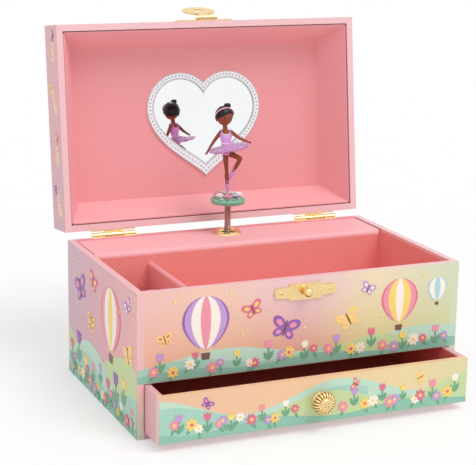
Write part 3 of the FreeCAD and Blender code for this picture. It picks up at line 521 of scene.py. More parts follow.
class Print:
    """Printed motifs on one flat face: thin closed shapes in layers, placed in millimetres from a corner."""

    LAYER = 0.025 * MM
    STAGGER = 10
    LEAST_AREA = 0.01
    EDGE = 0.3
    HILL_STEPS = 40
    # Shares of a motif's size: a tulip's cup, a butterfly's wings (height, reach, two half-widths and lean),
    # how far a balloon hangs down, its basket and a rope
    CUP = ((0.5, 0), (1, 0.9), (0.9, 2.0), (0.42, 1.45), (0, 2.1))
    WINGS = ((0.32, 0.52, 0.56, 0.36, 0.55), (-0.34, 0.4, 0.4, 0.28, -0.6))
    HANG = 1.18
    BASKET = ((0.16, -0.42), (0.2, -0.14))
    ROPE = ((0.17, -0.14), (0.21, -0.14), (0.26, 0.1), (0.22, 0.1))

    def __init__(self, name, body, corner, right, up, wide, tall):
        self.name, self.body = name, body
        self.corner, self.right, self.up, self.out = corner, right, up, right.cross(up)
        self.wide, self.tall = wide, tall
        self.bm = bmesh.new()
        self.inks = []
        self.count = 0

    def shape(self, points, ink, layer):
        """A flat shape kept on the face, lifted a little more than the last so that no two share a plane."""
        if ink not in self.inks:
            self.inks.append(ink)
        edge, right, top = self.EDGE, self.wide - self.EDGE, self.tall - self.EDGE
        points = [(min(max(x, edge), right), min(max(y, edge), top)) for x, y in points]
        points = [p for n, p in enumerate(points) if p != points[n - 1]]
        area = sum(a[0] * b[1] - a[1] * b[0] for a, b in zip(points, points[1:] + points[:1])) / 2
        if abs(area) < self.LEAST_AREA:
            return
        self.count += 1
        rings = []
        for lift in (0.2, layer + 1.0 + self.count % self.STAGGER / self.STAGGER):
            base = self.corner + self.out * (lift * self.LAYER)
            rings.append([self.bm.verts.new(base + self.right * (x * MM) + self.up * (y * MM))
                          for x, y in points])
        bridge(self.bm, rings, self.inks.index(ink))

    def oval(self, x, y, rx, ry, turn, ink, layer, count=18):
        ring = [(rx * cos(a), ry * sin(a)) for a in angles(count)]
        self.shape(laid(ring, x, y, turn=turn), ink, layer)

    def hills(self, *rows):
        """Rolling ground from the back forwards. A row starts with its ends as shares of the width."""
        for layer, (start, end, height, wave, phase, ink) in enumerate(rows, 1):
            x0 = max(self.EDGE, start * self.wide)
            x1 = min(self.wide - self.EDGE, end * self.wide)
            top = []
            for part in shares(self.HILL_STEPS):
                lift = height * (0.72 + 0.28 * sin(wave * part * 2 * pi + phase))
                top.append((x1 + (x0 - x1) * part, self.EDGE + lift))
            self.shape([(x0, self.EDGE), (x1, self.EDGE)] + top, "hill_" + ink, layer)

    def star(self, x, y, r, turn):
        sizes = (r, r * 0.42) * 5
        self.shape([(x + size * sin(a), y + size * cos(a))
                    for size, a in zip(sizes, angles(10, turn))], "gold", 7)

    def leaf(self, x, y, length, turn, ink, layer):
        """A pointed leaf growing from a point."""
        side = [(t, 0.2 * sin(pi * t)) for t in shares(6)]
        ring = side + [(a, -b) for a, b in reversed(side[1:-1])]
        self.shape(laid(ring, x, y, length, turn), ink, layer)

    def daisy(self, x, y, r, petals, ink, core, layer):
        for n, a in enumerate(angles(petals, rng.random() * 6)):
            self.oval(x + r * 0.62 * cos(a), y + r * 0.62 * sin(a), r * 0.42, r * 0.26, a, ink,
                      layer + n % 2, 12)
        self.oval(x, y, r * 0.3, r * 0.3, 0, core, layer + 3, 14)

    def tulip(self, x, y, height, ink, layer):
        stalk = ((0.045, 0), (0.045, 0.62))
        self.shape(laid(both_sides(stalk), x, y, height), "leaf", layer)
        self.leaf(x, y, height * 0.55, radians(62), "leaf", layer + 1)
        self.leaf(x, y, height * 0.5, radians(120), "leaf", layer + 1)
        self.shape(laid(both_sides(self.CUP), x, y + height * 0.62, height * 0.2), ink, layer + 2)

    def butterfly(self, x, y, size, turn, ink, spot, layer):
        for side in (-1, 1):
            for lift, reach, rx, ry, lean in self.WINGS:
                (wing_x, wing_y), = laid([(side * reach, lift)], x, y, size, turn)
                tilt = turn + side * lean
                self.oval(wing_x, wing_y, size * rx, size * ry, tilt, ink, layer)
                self.oval(wing_x, wing_y, size * rx * 0.5, size * ry * 0.5, tilt, spot, layer + 1, 14)
        self.oval(x, y, size * 0.08, size * 0.56, turn, "brown", layer + 2, 12)

    def butterflies(self, layer, *rows):
        for row in rows:
            self.butterfly(*row, layer)

    def balloon(self, x, y, r, inks, layer):
        """A round balloon in upright gores with a basket under it."""
        def seam(place):
            wide = sin(pi * (place - 0.5))
            line = []
            for a in (pi * share for share in shares(14)[1:-1]):
                neck = 1.0 if a < 1.7 else 1.0 - 0.22 * (a - 1.7)
                drop = 1.0 if a < 1.6 else self.HANG
                line.append((x + r * wide * sin(a) * neck, y + r * cos(a) * drop))
            return line
        for n, ink in enumerate(inks):
            self.shape(seam(n / len(inks)) + seam((n + 1) / len(inks))[::-1], ink, layer)
        low = y - r * self.HANG
        self.shape(laid(both_sides(self.BASKET), x, low, r), "brown", layer + 1)
        for side in (-1, 1):
            self.shape(laid([(side * a, b) for a, b in self.ROPE], x, low, r), "gold", layer + 1)

    def sprig(self, x, y, length, turn, ink, layer):
        """A stalk with paired leaves."""
        stalk = ((0, 0.012), (0, -0.012), (1, -0.012), (1, 0.012))
        self.shape(laid(stalk, x, y, length, turn), ink, layer)
        for part in (n / 6.5 for n in range(1, 7)):
            (a, b), = laid([(part, 0)], x, y, length, turn)
            for side in (-1, 1):
                self.leaf(a, b, length * 0.2 * (1.15 - 0.5 * part), turn + side * 0.85, ink, layer + 1)

    def dots(self, x0, x1, y0, y1, count, size, layer):
        for _ in range(count):
            r = size * (0.6 + 0.6 * rng.random())
            self.oval(rng.uniform(x0, x1), rng.uniform(y0, y1), r, r, 0, "gold", layer, 10)

    def meadow(self, x0, x1, y0, y1, count, layer):
        """Daisies and tulips scattered over a strip."""
        kinds = ("pink", "lilac", "yellow", "cream", "rose")
        for n in range(count):
            x = x0 + (x1 - x0) * (n + 0.2 + 0.6 * rng.random()) / count
            y = rng.uniform(y0, y1)
            ink = kinds[n % len(kinds)]
            if n % 3 == 1:
                self.tulip(x, y - 3, rng.uniform(8.5, 11.5), ink, layer + 4)
            else:
                core = "rose" if ink == "yellow" else "yellow"
                self.daisy(x, y, rng.uniform(2.4, 3.8), 7, ink, core, layer + 8)
                self.leaf(x, y - 2, 4.5, rng.uniform(3.6, 5.8), "leaf", layer + 2)

    def done(self):
        obj = piece(self.name, self.bm, self.body, [INK[k] for k in self.inks], smooth=False)


VIOLET, ROSE, YELLOW = ("violet", "pink"), ("rose", "yellow"), ("yellow", "peach")
SUNNY, LILAC = ("yellow", "rose"), ("lilac", "cream")


def front_print():
    """Upper front: balloons and butterflies over low hills."""
    lo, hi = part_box("front_panel")
    wide = 2 * HALF_W / MM
    sheet = Print("print_motifs_front", "box", Vector((-HALF_W, -HALF_D, lo[2])), RIGHT, UP,
                  wide, (hi[2] - lo[2]) / MM)
    sheet.hills((0, 1, 15, 1.6, 0.4, "pale"), (0, 0.56, 11, 1.1, 2.6, "mint"),
                (0.42, 1, 12.5, 1.2, 4.4, "green"), (0, 1, 6, 2.4, 1.0, "deep"))
    sheet.balloon(40, 32.5, 14, ("violet", "lilac", "cream", "pink", "cream", "lilac", "violet"), 6)
    sheet.balloon(161, 33, 12, ("rose", "pink", "yellow", "cream", "yellow", "pink", "rose"), 6)
    sheet.balloon(186, 37, 6.5, ("sky", "cream", "sky", "cream", "sky"), 6)
    sheet.butterflies(8, (68, 36, 6.0, 0.4, *ROSE), (88, 23, 8.5, -0.3, *VIOLET),
                      (128, 24, 7.0, 0.5, *YELLOW), (140, 41, 4.6, -0.5, *LILAC), (16, 24, 4.4, 0.3, *SUNNY))
    stars = ((22, 45, 1.6), (55, 46, 1.2), (62, 22, 1.1), (100, 22, 1.3), (112, 31, 1.0), (150, 24, 1.2),
             (176, 46, 1.5), (192, 36, 1.2), (8, 38, 1.0), (74, 47, 1.0), (135, 47, 1.0))
    for x, y, r in stars:
        sheet.star(x, y, r, 0.2 * x)
    sheet.dots(6, wide - 6, 17, 48, 34, 0.35, 5)
    sheet.meadow(4, wide - 4, 4, 9, 27, 8)
    sheet.done()


def drawer_print():
    """Drawer front: higher hills, with the flowers leaving room for the knob."""
    lo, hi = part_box("drawer_front")
    wide = (hi[0] - lo[0]) / MM
    tall = (hi[2] - lo[2]) / MM
    sheet = Print("print_motifs_drawer", "drawer", Vector(lo), RIGHT, UP, wide, tall)
    sheet.hills((0, 1, 24.5, 1.7, 3.2, "pale"), (0, 0.66, 20, 1.2, 0.6, "mint"),
                (0.36, 1, 18, 1.3, 1.8, "green"), (0, 1, 7, 2.2, 5.0, "deep"))
    sheet.meadow(5, wide * 0.43, 5, 11, 15, 6)
    sheet.meadow(wide * 0.57, wide - 5, 5, 11, 14, 6)
    for x, y, size, inks in ((28, 20, 3.6, VIOLET), (118, 20, 3.4, ROSE), (160, 19, 3.8, YELLOW)):
        sheet.butterfly(x, y, size, 0.02 * x - 1.2, *inks, 8)
    sheet.dots(4, wide - 4, 14, tall - 3, 40, 0.34, 5)
    sheet.done()


def side_print(name, node_name, corner, right, balloon, butterflies):
    """A side wall: a balloon over four ranges of hills, with a row of tulips."""
    lo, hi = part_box(node_name)
    wide = (hi[1] - lo[1]) / MM
    tall = (hi[2] - lo[2]) / MM
    sheet = Print(name, "box", corner, right, UP, wide, tall)
    sheet.hills((0, 1, 40, 0.9, 0.8, "green"), (0, 1, 31, 1.1, 3.4, "pale"),
                (0, 1, 22, 1.5, 1.2, "mint"), (0, 1, 11, 2.0, 4.0, "deep"))
    sheet.balloon(*balloon, ("rose", "pink", "cream", "yellow", "cream", "pink", "rose"), 9)
    sheet.butterflies(10, *butterflies)
    for n in range(9):
        sheet.tulip(8 + n * (wide - 16) / 8, 8 + 5 * sin(n * 2.1), 15 + 4 * sin(n * 1.3),
                    ("rose", "violet", "yellow", "pink", "lilac")[n % 5], 8)
    sheet.meadow(5, wide - 5, 4, 8, 16, 12)
    sheet.dots(5, wide - 5, 30, tall - 4, 46, 0.4, 6)
    for n in range(7):
        sheet.star(10 + n * (wide - 20) / 6, tall - 9 - 9 * (n % 2), 1.5, n)
    sheet.done()


def side_prints():
    side_print("print_motifs_left", "left_wall", Vector((-HALF_W, HALF_D, 0)), FRONT, (82, 58, 17),
               ((26, 60, 10.0, 0.4, *VIOLET), (50, 70, 7.0, -0.4, *ROSE), (112, 44, 8.0, 0.3, *YELLOW),
                (46, 44, 7.0, -0.2, *SUNNY), (111, 72, 5.5, 0.6, *LILAC)))
    side_print("print_motifs_right", "right_wall", Vector((HALF_W, -HALF_D, 0)), BACK, (38, 58, 17),
               ((70, 70, 7.5, -0.4, *ROSE), (80, 48, 9.0, 0.3, *VIOLET), (102, 64, 8.0, -0.3, *YELLOW),
                (12, 46, 6.0, 0.5, *LILAC)))


def back_print():
    """Back: hills and flowers below the hinges."""
    wide = 2 * HALF_W / MM
    sheet = Print("print_motifs_back", "box", Vector((HALF_W, HALF_D, 0)), LEFT, UP, wide, BOX_H / MM)
    sheet.hills((0, 1, 24, 1.6, 2.4, "green"), (0, 1, 18, 1.3, 0.6, "pale"),
                (0, 1, 12, 2.1, 3.6, "mint"), (0, 1, 7, 2.8, 1.2, "deep"))
    sheet.meadow(5, wide - 5, 4, 10, 30, 6)
    sheet.butterflies(8, (28, 44, 8, 0.4, *ROSE), (56, 32, 6, -0.4, *YELLOW), (146, 34, 7, 0.3, *VIOLET),
                      (174, 50, 8, -0.3, *LILAC))
    sheet.dots(5, wide - 5, 26, 62, 50, 0.4, 5)
    sheet.done()


def lid_print():
    """Lid outside: sprigs of gold leaves on the walls and a wreath on the top."""
    def at(x, y, z):
        return OPEN @ Vector((x, y, z * MM))
    width = 2 * HALF_W / MM
    depth = 2 * HALF_D / MM
    x_axis, y_axis, z_axis = (LID_TURN @ way for way in (RIGHT, BACK, UP))
    for side, x, y, right, wide in (("left", -HALF_W, HALF_D, -y_axis, depth),
                                    ("right", HALF_W, -HALF_D, y_axis, depth),
                                    ("front", -HALF_W, -HALF_D, x_axis, width),
                                    ("back", HALF_W, HALF_D, -x_axis, width)):
        sheet = Print("print_motifs_lid_" + side, "lid", at(x, y, LID_RIM), right, z_axis, wide, LID_H)
        count = 6 if wide == width else 4
        for n in range(count):
            x = wide * (n + 0.5) / count
            off_middle = abs(x - wide / 2)
            over_hasp = wide == width and off_middle < HASP_HALF
            over_hinge = side == "back" and abs(off_middle - HINGE_X) < HINGE_HALF
            if over_hasp or over_hinge:
                continue
            odd = n % 2
            inks = (VIOLET, ROSE, YELLOW)[n % 3]
            sheet.sprig(x - 9, 6 + 2 * odd, 20, 0.45 - 0.25 * odd, "gold", 2)
            sheet.butterfly(x + 9, 17 - 8 * odd, 3.6, 0.4 - 0.8 * odd, *inks, 5)
        sheet.dots(4, wide - 4, 3, LID_H - 3, 26, 0.35, 1)
        sheet.done()
    corner = at(-HALF_W, -HALF_D, LID_RIM + LID_H)
    top = Print("print_motifs_lid_top", "lid", corner, x_axis, y_axis, width, depth)
    cx, cy = width / 2, depth / 2
    wreath_x, wreath_y = 58, 40
    for n, a in enumerate(angles(26)):
        x, y = cx + wreath_x * cos(a), cy + wreath_y * sin(a)
        top.leaf(x, y, 13, a + pi / 2 + 0.5, "leaf", 3)
        top.leaf(x, y, 11, a + pi / 2 - 0.6, "hill_deep", 4)
        if n % 2 == 0:
            ink = ("pink", "lilac", "cream", "yellow")[n // 2 % 4]
            top.daisy(x, y, 6.2, 8, ink, "rose" if ink == "yellow" else "yellow", 6)
    top.butterflies(12, (cx - 16, cy + 4, 11, 0.35, *VIOLET), (cx + 20, cy - 8, 8, -0.4, *ROSE),
                    (22, 22, 6, 0.5, *YELLOW), (width - 24, 24, 6, -0.5, *VIOLET),
                    (24, depth - 22, 6, -0.4, *ROSE), (width - 22, depth - 20, 6, 0.4, *SUNNY))
    top.dots(8, width - 8, 8, depth - 8, 70, 0.5, 2)
    top.done()


# Doll
def doll_frame():
    """Doll space, in millimetres above the toe and facing the viewer, to the row frame."""
    spot = joints["dancer_spin"]["pos_m"]
    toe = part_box("ballerina_figure")[0][2] + TOE_TIP * MM
    return (Matrix.Translation((spot[0], spot[1], toe)) @ Matrix.Rotation(FIGURE_TURN, 4, "Z")
            @ Matrix.Scale(MM, 4))


DOLL = doll_frame()


def on_head(across, up, lift=0.0):
    """A point on the front of the head, by its share of the half-width and half-height."""
    deep = sqrt(max(0.0, 1 - across * across - up * up))
    local = Vector((across * (HEAD_R[0] + lift), -deep * (HEAD_R[1] + lift), up * (HEAD_R[2] + lift)))
    return HEAD + FACE @ local


def placed(name, bm, mats, nodes_replaced=()):
    bm.transform(DOLL)
    obj = piece(name, bm, "dancer", mats)
    if nodes_replaced:
        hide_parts(*nodes_replaced)
    return obj


def doll_body():
    """Limbs, neck, shoulders, hands and head, each limb through points with a radius last."""
    standing_leg = ((-0.45, 0, 3.0, 1.0), (-0.6, 0.05, 5.0, 0.95), (-0.9, 0.35, 9.4, 1.35),
                    (-1.1, 0.1, 13.2, 1.15), (-1.6, 0, 19.0, 1.6), (-2.0, 0, 25.0, 1.95))
    thigh = ((-0.6, 0, 24.2, 1.95), (3.6, -0.9, 22.6, 1.75), (7.3, -1.6, 21.0, 1.4))
    shin = ((7.3, -1.6, 21.0, 1.4), (5.6, -1.6, 17.4, 1.3), (3.2, -1.5, 13.0, 0.9), (2.7, -1.5, 11.8, 0.85))
    neck = ((-2.1, 0, 37.6, 1.9), (-2.3, 0, 39.8, 1.45), (-2.6, -0.1, 42.8, 1.4))
    low_arm = ((-4.7, 0, 37.4, 1.3), (-7.2, 0.4, 34.0, 1.15), (-9.5, 0.4, 30.7, 0.95),
               (-12.6, -0.6, 25.5, 0.7), (-13.3, -1.0, 24.3, 0.52))
    high_arm = ((1.0, 0, 37.6, 1.3), (3.8, 0.3, 35.5, 1.15), (6.6, 0.3, 33.6, 0.95),
                (11.4, -0.6, 31.6, 0.7), (12.7, -0.9, 31.2, 0.52))
    bm = bmesh.new()
    for limb in (standing_leg, thigh, shin, neck, low_arm, high_arm):
        tube(bm, limb)
    for hand, way, drop in ((Vector((-13.5, -1.1, 23.9)), -1, 0.4), (Vector((13.0, -0.9, 31.1)), 1, 0.0)):
        blob(bm, hand, (0.75, 0.45, 0.75), turn=Matrix.Rotation(0.5 * way, 4, "Y"), fine=12)
        for n in range(3):
            tip = hand + Vector((way * (0.7 + 0.12 * n), -0.2, -0.55 + 0.5 * n - drop))
            tube(bm, [(*hand, 0.26), (*tip, 0.18)], around=8, steps=3)
    blob(bm, Vector((-1.9, 0, 36.7)), (3.6, 2.1, 2.3))
    blob(bm, HEAD, HEAD_R, fine=32)
    blob(bm, on_head(0.0, -0.18), (0.42, 0.6, 0.5), fine=12)
    for side in (-1, 1):
        blob(bm, HEAD + FACE @ Vector((side * 5.0, 0.3, -1.2)), (0.5, 0.9, 1.2), fine=12)
    obj = placed("doll_body", bm, [M["skin"]], ("ballerina_figure",))


def stroke(bm, rows, side, lift, material, steps=4):
    """A painted line on the head: shares across and up, and a half-thickness, at each point."""
    tube(bm, [(*on_head(side * across, up, lift), r) for across, up, r in rows], material, 8, steps)


def doll_face():
    """Painted eyes, lids, brows and mouth, raised a hair off the head."""
    white, black, lip = 0, 1, 2
    bm = bmesh.new()
    for side in (-1, 1):
        turn = FACE.to_4x4() @ Matrix.Rotation(0.34 * side, 4, "Z")
        blob(bm, on_head(0.36 * side, -0.12), (0.74, 0.26, 0.3), white, turn, 14)
        blob(bm, on_head(0.35 * side, -0.12, 0.12), (0.5, 0.24, 0.4), black, turn, 12)
        stroke(bm, ((0.19, -0.1, 0.12), (0.36, -0.05, 0.24), (0.54, -0.12, 0.1)), side, 0.12, black)
        stroke(bm, ((0.2, 0.14, 0.1), (0.37, 0.19, 0.15), (0.54, 0.12, 0.07)), side, 0.06, black)
    stroke(bm, ((-0.17, -0.47, 0.1), (0.0, -0.52, 0.26), (0.17, -0.47, 0.1)), 1, 0.04, lip, 5)
    placed("doll_face_paint", bm, [M["white"], M["black"], M["lip"]])


def doll_hair():
    """Hair drawn back to a small bun, with a swept fringe and a band."""
    bm = bmesh.new()
    bmesh.ops.create_uvsphere(bm, u_segments=120, v_segments=80, radius=1.0)
    gone = []
    for face in bm.faces:
        c = face.calc_center_median()
        fringe = 0.28 + 0.2 * c.x - 0.45 * c.x * c.x
        if (c.y < -0.12 and c.z < fringe) or c.z < -0.62 or (c.y < 0.25 and c.z < -0.25):
            gone.append(face)
    bmesh.ops.delete(bm, geom=gone, context="FACES")
    edge = [v for v in bm.verts if v.is_boundary]
    for _ in range(8):
        bmesh.ops.smooth_vert(bm, verts=edge, factor=0.5, use_axis_x=True, use_axis_y=True, use_axis_z=True)
    for vert in bm.verts:
        strand = STRAND_DEPTH * sin(STRANDS * atan2(vert.co.x, vert.co.z + 1.4))
        local = Vector([p * (r + strand) for p, r in zip(vert.co, HAIR_R)])
        vert.co = HEAD + FACE @ (local + BACK * HAIR_BACK)
    bmesh.ops.solidify(bm, geom=bm.faces[:], thickness=0.5)
    blob(bm, BUN, (2.1, 2.0, 1.7))
    for a in angles(5):
        curl = [BUN + Vector((1.5 * cos(a + t), 1.4 * sin(a + t), 0.9 * sin(3 * t)))
                for t in (0, 0.6, 1.2)]
        tube(bm, [(*p, r) for p, r in zip(curl, (0.5, 0.62, 0.4))], 0, 8, 4)
    placed("doll_hair", bm, [M["hair"]])
    bm = bmesh.new()
    band = []
    for a in (pi * share * 0.9 + 0.16 for share in shares(24)):
        up = sin(a)
        band.append(HEAD + FACE @ Vector((BAND_R[0] * cos(a), HAIR_BACK - BAND_R[1] * up * sin(BAND_LEAN),
                                          BAND_R[2] * up * cos(BAND_LEAN))))
    cord(bm, band, 0.4)
    placed("doll_headband", bm, [M["band"]])


def doll_dress():
    """A bodice through rings of height, middle and two half-widths, with straps, a trim and a belt."""
    cloth, neckline = 0.12, 36.2
    rows = ((23.0, -1.0, 2.7, 2.4), (25.4, -1.3, 3.0, 2.5), (27.8, -1.5, 2.95, 2.35),
            (30.4, -1.7, 2.65, 2.05), (32.4, -1.75, 3.1, 2.3), (34.5, -1.8, 3.65, 2.6),
            (neckline, BODICE_X, 3.6, 2.35))
    bm = bmesh.new()
    rings = []
    for z, x, rx, ry in rows:
        ring = []
        for a in angles(28):
            dip = 0.55 * abs(sin(2 * a)) - 0.35 if z == neckline else 0.0
            ring.append(bm.verts.new((x + (rx + cloth) * cos(a), (ry + cloth) * sin(a), z + dip)))
        rings.append(ring)
    bridge(bm, rings)
    for side in (-1, 1):
        x = BODICE_X + side * 2.4
        out = x + 0.25 * side
        cord(bm, ((x, -2.2, 36.0), (out, -1.5, 38.3), (out, 0.4, 38.8), (x, 2.0, 36.2)), 0.36, steps=5)
    trim = []
    for a in (-pi / 2 + k * 0.16 for k in range(-7, 8)):
        lift = 0.55 * abs(sin(2 * a)) - 0.3
        trim.append((BODICE_X + 3.8 * cos(a), 2.55 * sin(a), neckline + lift))
    cord(bm, trim, 0.28, 1, steps=2)
    belt = [(-1.65 + 2.9 * cos(a), 2.3 * sin(a), 30.1) for a in (*angles(24), 2 * pi)]
    cord(bm, belt, 0.3, 1)
    placed("doll_leotard", bm, [M["leotard"], M["white"]])


def doll_tutu():
    """A pancake skirt of ruffled layers: reach, drop, count of waves, their height and their phase."""
    layers = ((13.0, 0.0, 11, 0.2, 0.0), (12.6, -0.5, 13, 0.22, 0.7), (11.8, -0.95, 12, 0.25, 1.9))
    bm = bmesh.new()
    for reach, drop, waves, ruffle, phase in layers:
        rings = []
        for part in shares(14):
            r = WAIST_R + (reach - WAIST_R) * part
            ring = []
            for a in angles(168):
                lift = 2.3 * (1 - part) ** 2.2 - 0.55 * part + drop * part
                wave = sin(waves * a + phase) * (0.75 + 0.25 * sin(3 * a + phase))
                edge = r * (1 + 0.018 * part * sin(waves * a * 0.5 + phase))
                ring.append(bm.verts.new(polar(edge, a, lift + ruffle * part * part * wave)))
            rings.append(ring)
        bridge(bm, rings, caps=False)
    bmesh.ops.solidify(bm, geom=bm.faces[:], thickness=0.14)
    tilt = Matrix.Translation((0, 0, TUTU_HEIGHT)) @ Matrix.Rotation(TUTU_TILT, 4, "Y")
    bm.transform(tilt)
    obj = placed("doll_tutu", bm, [M["tutu"]], ("ballerina_tutu",))


def doll_slippers():
    """Two pointed shoes and the ribbons wound up from them, from ankle to calf with a radius at each."""
    standing = ((-0.2, 0, 0.1, 0.62), (-0.25, 0, 1.2, 0.95), (-0.42, -0.05, 3.0, 1.28),
                (-0.55, 0.1, 4.3, 1.05))
    lifted = ((3.0, -1.5, 12.4, 0.98), (2.3, -1.5, 10.8, 1.18), (1.4, -1.5, 8.8, 0.9), (0.9, -1.5, 7.6, 0.55))
    legs = (((-0.55, 0.1, 4.3), (-0.9, 0.3, 8.6), 1.08, 1.42),
            ((3.0, -1.5, 12.6), (4.6, -1.55, 15.6), 1.0, 1.25))
    bm = bmesh.new()
    tube(bm, standing)
    tube(bm, lifted)
    for ankle, calf, r0, r1 in legs:
        start, end = Vector(ankle), Vector(calf)
        way = (end - start).normalized()
        side = way.orthogonal().normalized()
        other = way.cross(side)
        for twist in (1, -1):
            ribbon = []
            for part in shares(24):
                a = twist * part * RIBBON_TURN
                r = r0 + (r1 - r0) * part
                ribbon.append(start.lerp(end, part) + (side * cos(a) + other * sin(a)) * r)
            cord(bm, ribbon, 0.17, around=6)
    placed("doll_slippers", bm, [M["slipper"]])


def rose(bm, spot, size, material):
    """Petals wound outwards from a bud."""
    for k in range(11):
        a = k * 2.4
        petal = Matrix.Rotation(a + pi / 2, 4, "Z") @ Matrix.Rotation(0.2 + 0.05 * k, 4, "X")
        blob(bm, spot + polar(0.1 + 0.075 * k, a, 0.42 - 0.03 * k) * size,
             Vector((0.42, 0.17, 0.4)) * size, material, petal, 10)


def open_flower(bm, spot, size, material, core, turn):
    """Six petals round a button."""
    for a in angles(6, turn):
        petal = Matrix.Rotation(a, 4, "Z") @ Matrix.Rotation(-0.4, 4, "Y")
        blob(bm, spot + polar(0.6, a, 0.22) * size, Vector((0.46, 0.32, 0.14)) * size, material, petal, 10)
    blob(bm, spot + UP * (0.28 * size), Vector((0.26, 0.26, 0.2)) * size, core, None, 10)


def base_flowers():
    """The turning base: a mint disc with a mound of flowers and leaves on it."""
    lo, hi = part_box("figure_base")
    r = (hi[0] - lo[0]) / 2 / MM
    thick, mound = 3.0, 4.4
    low = (lo[2] - DOLL.translation.z) / MM
    top = low + thick
    profile = ((0.93, low), (0.975, low + 0.3), (0.98, low + 1.3), (1, low + 1.65), (1, low + 2.6),
               (0.98, low + 2.9), (0.95, top), (0.78, top + 0.5), (0.5, top + mound * 0.55),
               (0.2, top + mound * 0.86))
    bm = bmesh.new()
    rings = [[bm.verts.new(polar(r * share, a, z)) for a in angles(72)] for share, z in profile]
    spindle(bm, rings, low, top + mound * 0.9)
    for a in angles(22):
        blob(bm, polar(r * 0.88, a, top + 0.3), (1.3, 0.55, 0.3), 1, Matrix.Rotation(a + 0.8, 4, "Z"), 10)
    disc = placed("flower_base", bm, [M["mint_base"], M["leaf"]], ("figure_base",))
    pink, white, lilac, core = 0, 1, 2, 3
    bm = bmesh.new()
    for n, (a, kind) in enumerate(zip(angles(7, -pi / 2), (pink, lilac, white, pink, lilac, pink, white))):
        spot = polar(r * 0.6, a, top + mound * 0.42)
        if kind == lilac:
            open_flower(bm, spot, 3.1, lilac, core, n)
        else:
            rose(bm, spot, 2.7, kind)
    for n, a in enumerate(angles(5, 0.5 - pi / 2)):
        open_flower(bm, polar(r * 0.27, a, top + mound * 0.72), 1.9, white if n % 2 else pink, core, n)
    for n, a in enumerate(angles(14, pi / 14)):
        open_flower(bm, polar(r * 0.8, a, top + 0.75), 1.15, (white, lilac, pink)[n % 3], core, n)
    placed("base_flowers", bm, [M["rose"], M["white"], M["petal_lilac"], M["gold_core"]])


def stem_coil():
    """The flexible stem: fine wire wound close in a straight coil between the box and the dancer."""
    lo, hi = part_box("popup_stem")
    x, y = (lo[0] + hi[0]) / 2, (lo[1] + hi[1]) / 2
    middle = Vector((x, y, lo[2] + STEM_WIRE))
    radius = (hi[0] - lo[0]) / 2 - STEM_WIRE
    pitch = STEM_PITCH * STEM_WIRE
    turns = int((hi[2] - lo[2] - 2 * STEM_WIRE) / pitch)
    steps = 22
    bm = bmesh.new()
    rings = []
    for n in range(turns * steps + 1):
        a = 2 * pi * n / steps
        place = middle + polar(radius, a, pitch * n / steps)
        out = polar(1, a)
        rings.append([bm.verts.new(place + (out * cos(b) + UP * sin(b)) * STEM_WIRE)
                      for b in angles(6)])
    bridge(bm, rings)
    # Pinkish wire colour: painted reflection
    coil = piece("stem_coil", bm, None, [M["stem_wire_painted_pink_reflection"]])
    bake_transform(coil)
    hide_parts("popup_stem")


# Heart mirror, ring rolls, drawer and knob
def heart_points(inset, count):
    """Points along the heart outline on the lid panel, closed lid, evenly spread, in millimetres."""
    r = LOBE_R - inset
    tip = HEART_TIP - inset * TIP_INSET
    start = atan2(-sqrt(r ** 2 - LOBE_X ** 2), -LOBE_X)
    half = [Vector((LOBE_X, -LOBE_Y, 0)) + polar(r, start + (LOBE_END - start) * t) for t in shares(59)]
    poles = (half[-1], half[-1] + polar(r * 0.85, LOBE_END + pi / 2),
             Vector((r * 0.42, tip - r * 0.42, 0)), Vector((0, tip, 0)))
    for t in shares(40)[1:]:
        weights = ((1 - t) ** 3, 3 * t * (1 - t) ** 2, 3 * t * t * (1 - t), t ** 3)
        half.append(sum((pole * w for pole, w in zip(poles, weights)), Vector()))
    line = half + [Vector((-p.x, p.y, 0)) for p in reversed(half[:-1])]
    lengths = [0.0]
    for a, b in zip(line, line[1:]):
        lengths.append(lengths[-1] + (b - a).length)
    spread = []
    k = 0
    for n in range(count):
        want = lengths[-1] * n / count
        while lengths[k + 1] < want:
            k += 1
        part = (want - lengths[k]) / (lengths[k + 1] - lengths[k])
        spread.append(line[k].lerp(line[k + 1], part) + RIGHT * HEART_X)
    return spread


def mirror_trim():
    """Dark beads along the mirror's border and fine metal lines at both its edges."""
    face = LID_RIM + LID_DEPTH - BORDER_T
    bead, metal = 0, 1
    bm = bmesh.new()
    for p in heart_points(1.9, 92):
        blob(bm, p + UP * (face + 0.15), (0.52, 0.52, 0.25), bead, None, 10)
    for inset, r in ((3.5, 0.2), (4.1, 0.2), (0.25, 0.22)):
        line = [p + UP * (face + 0.7 * r) for p in heart_points(inset, 220)]
        cord(bm, line + line[:1], r, metal, 6)
    bm.transform(OPEN @ Matrix.Scale(MM, 4))
    obj = piece("mirror_beads", bm, "lid", [M["bead"], M["zinc"]])


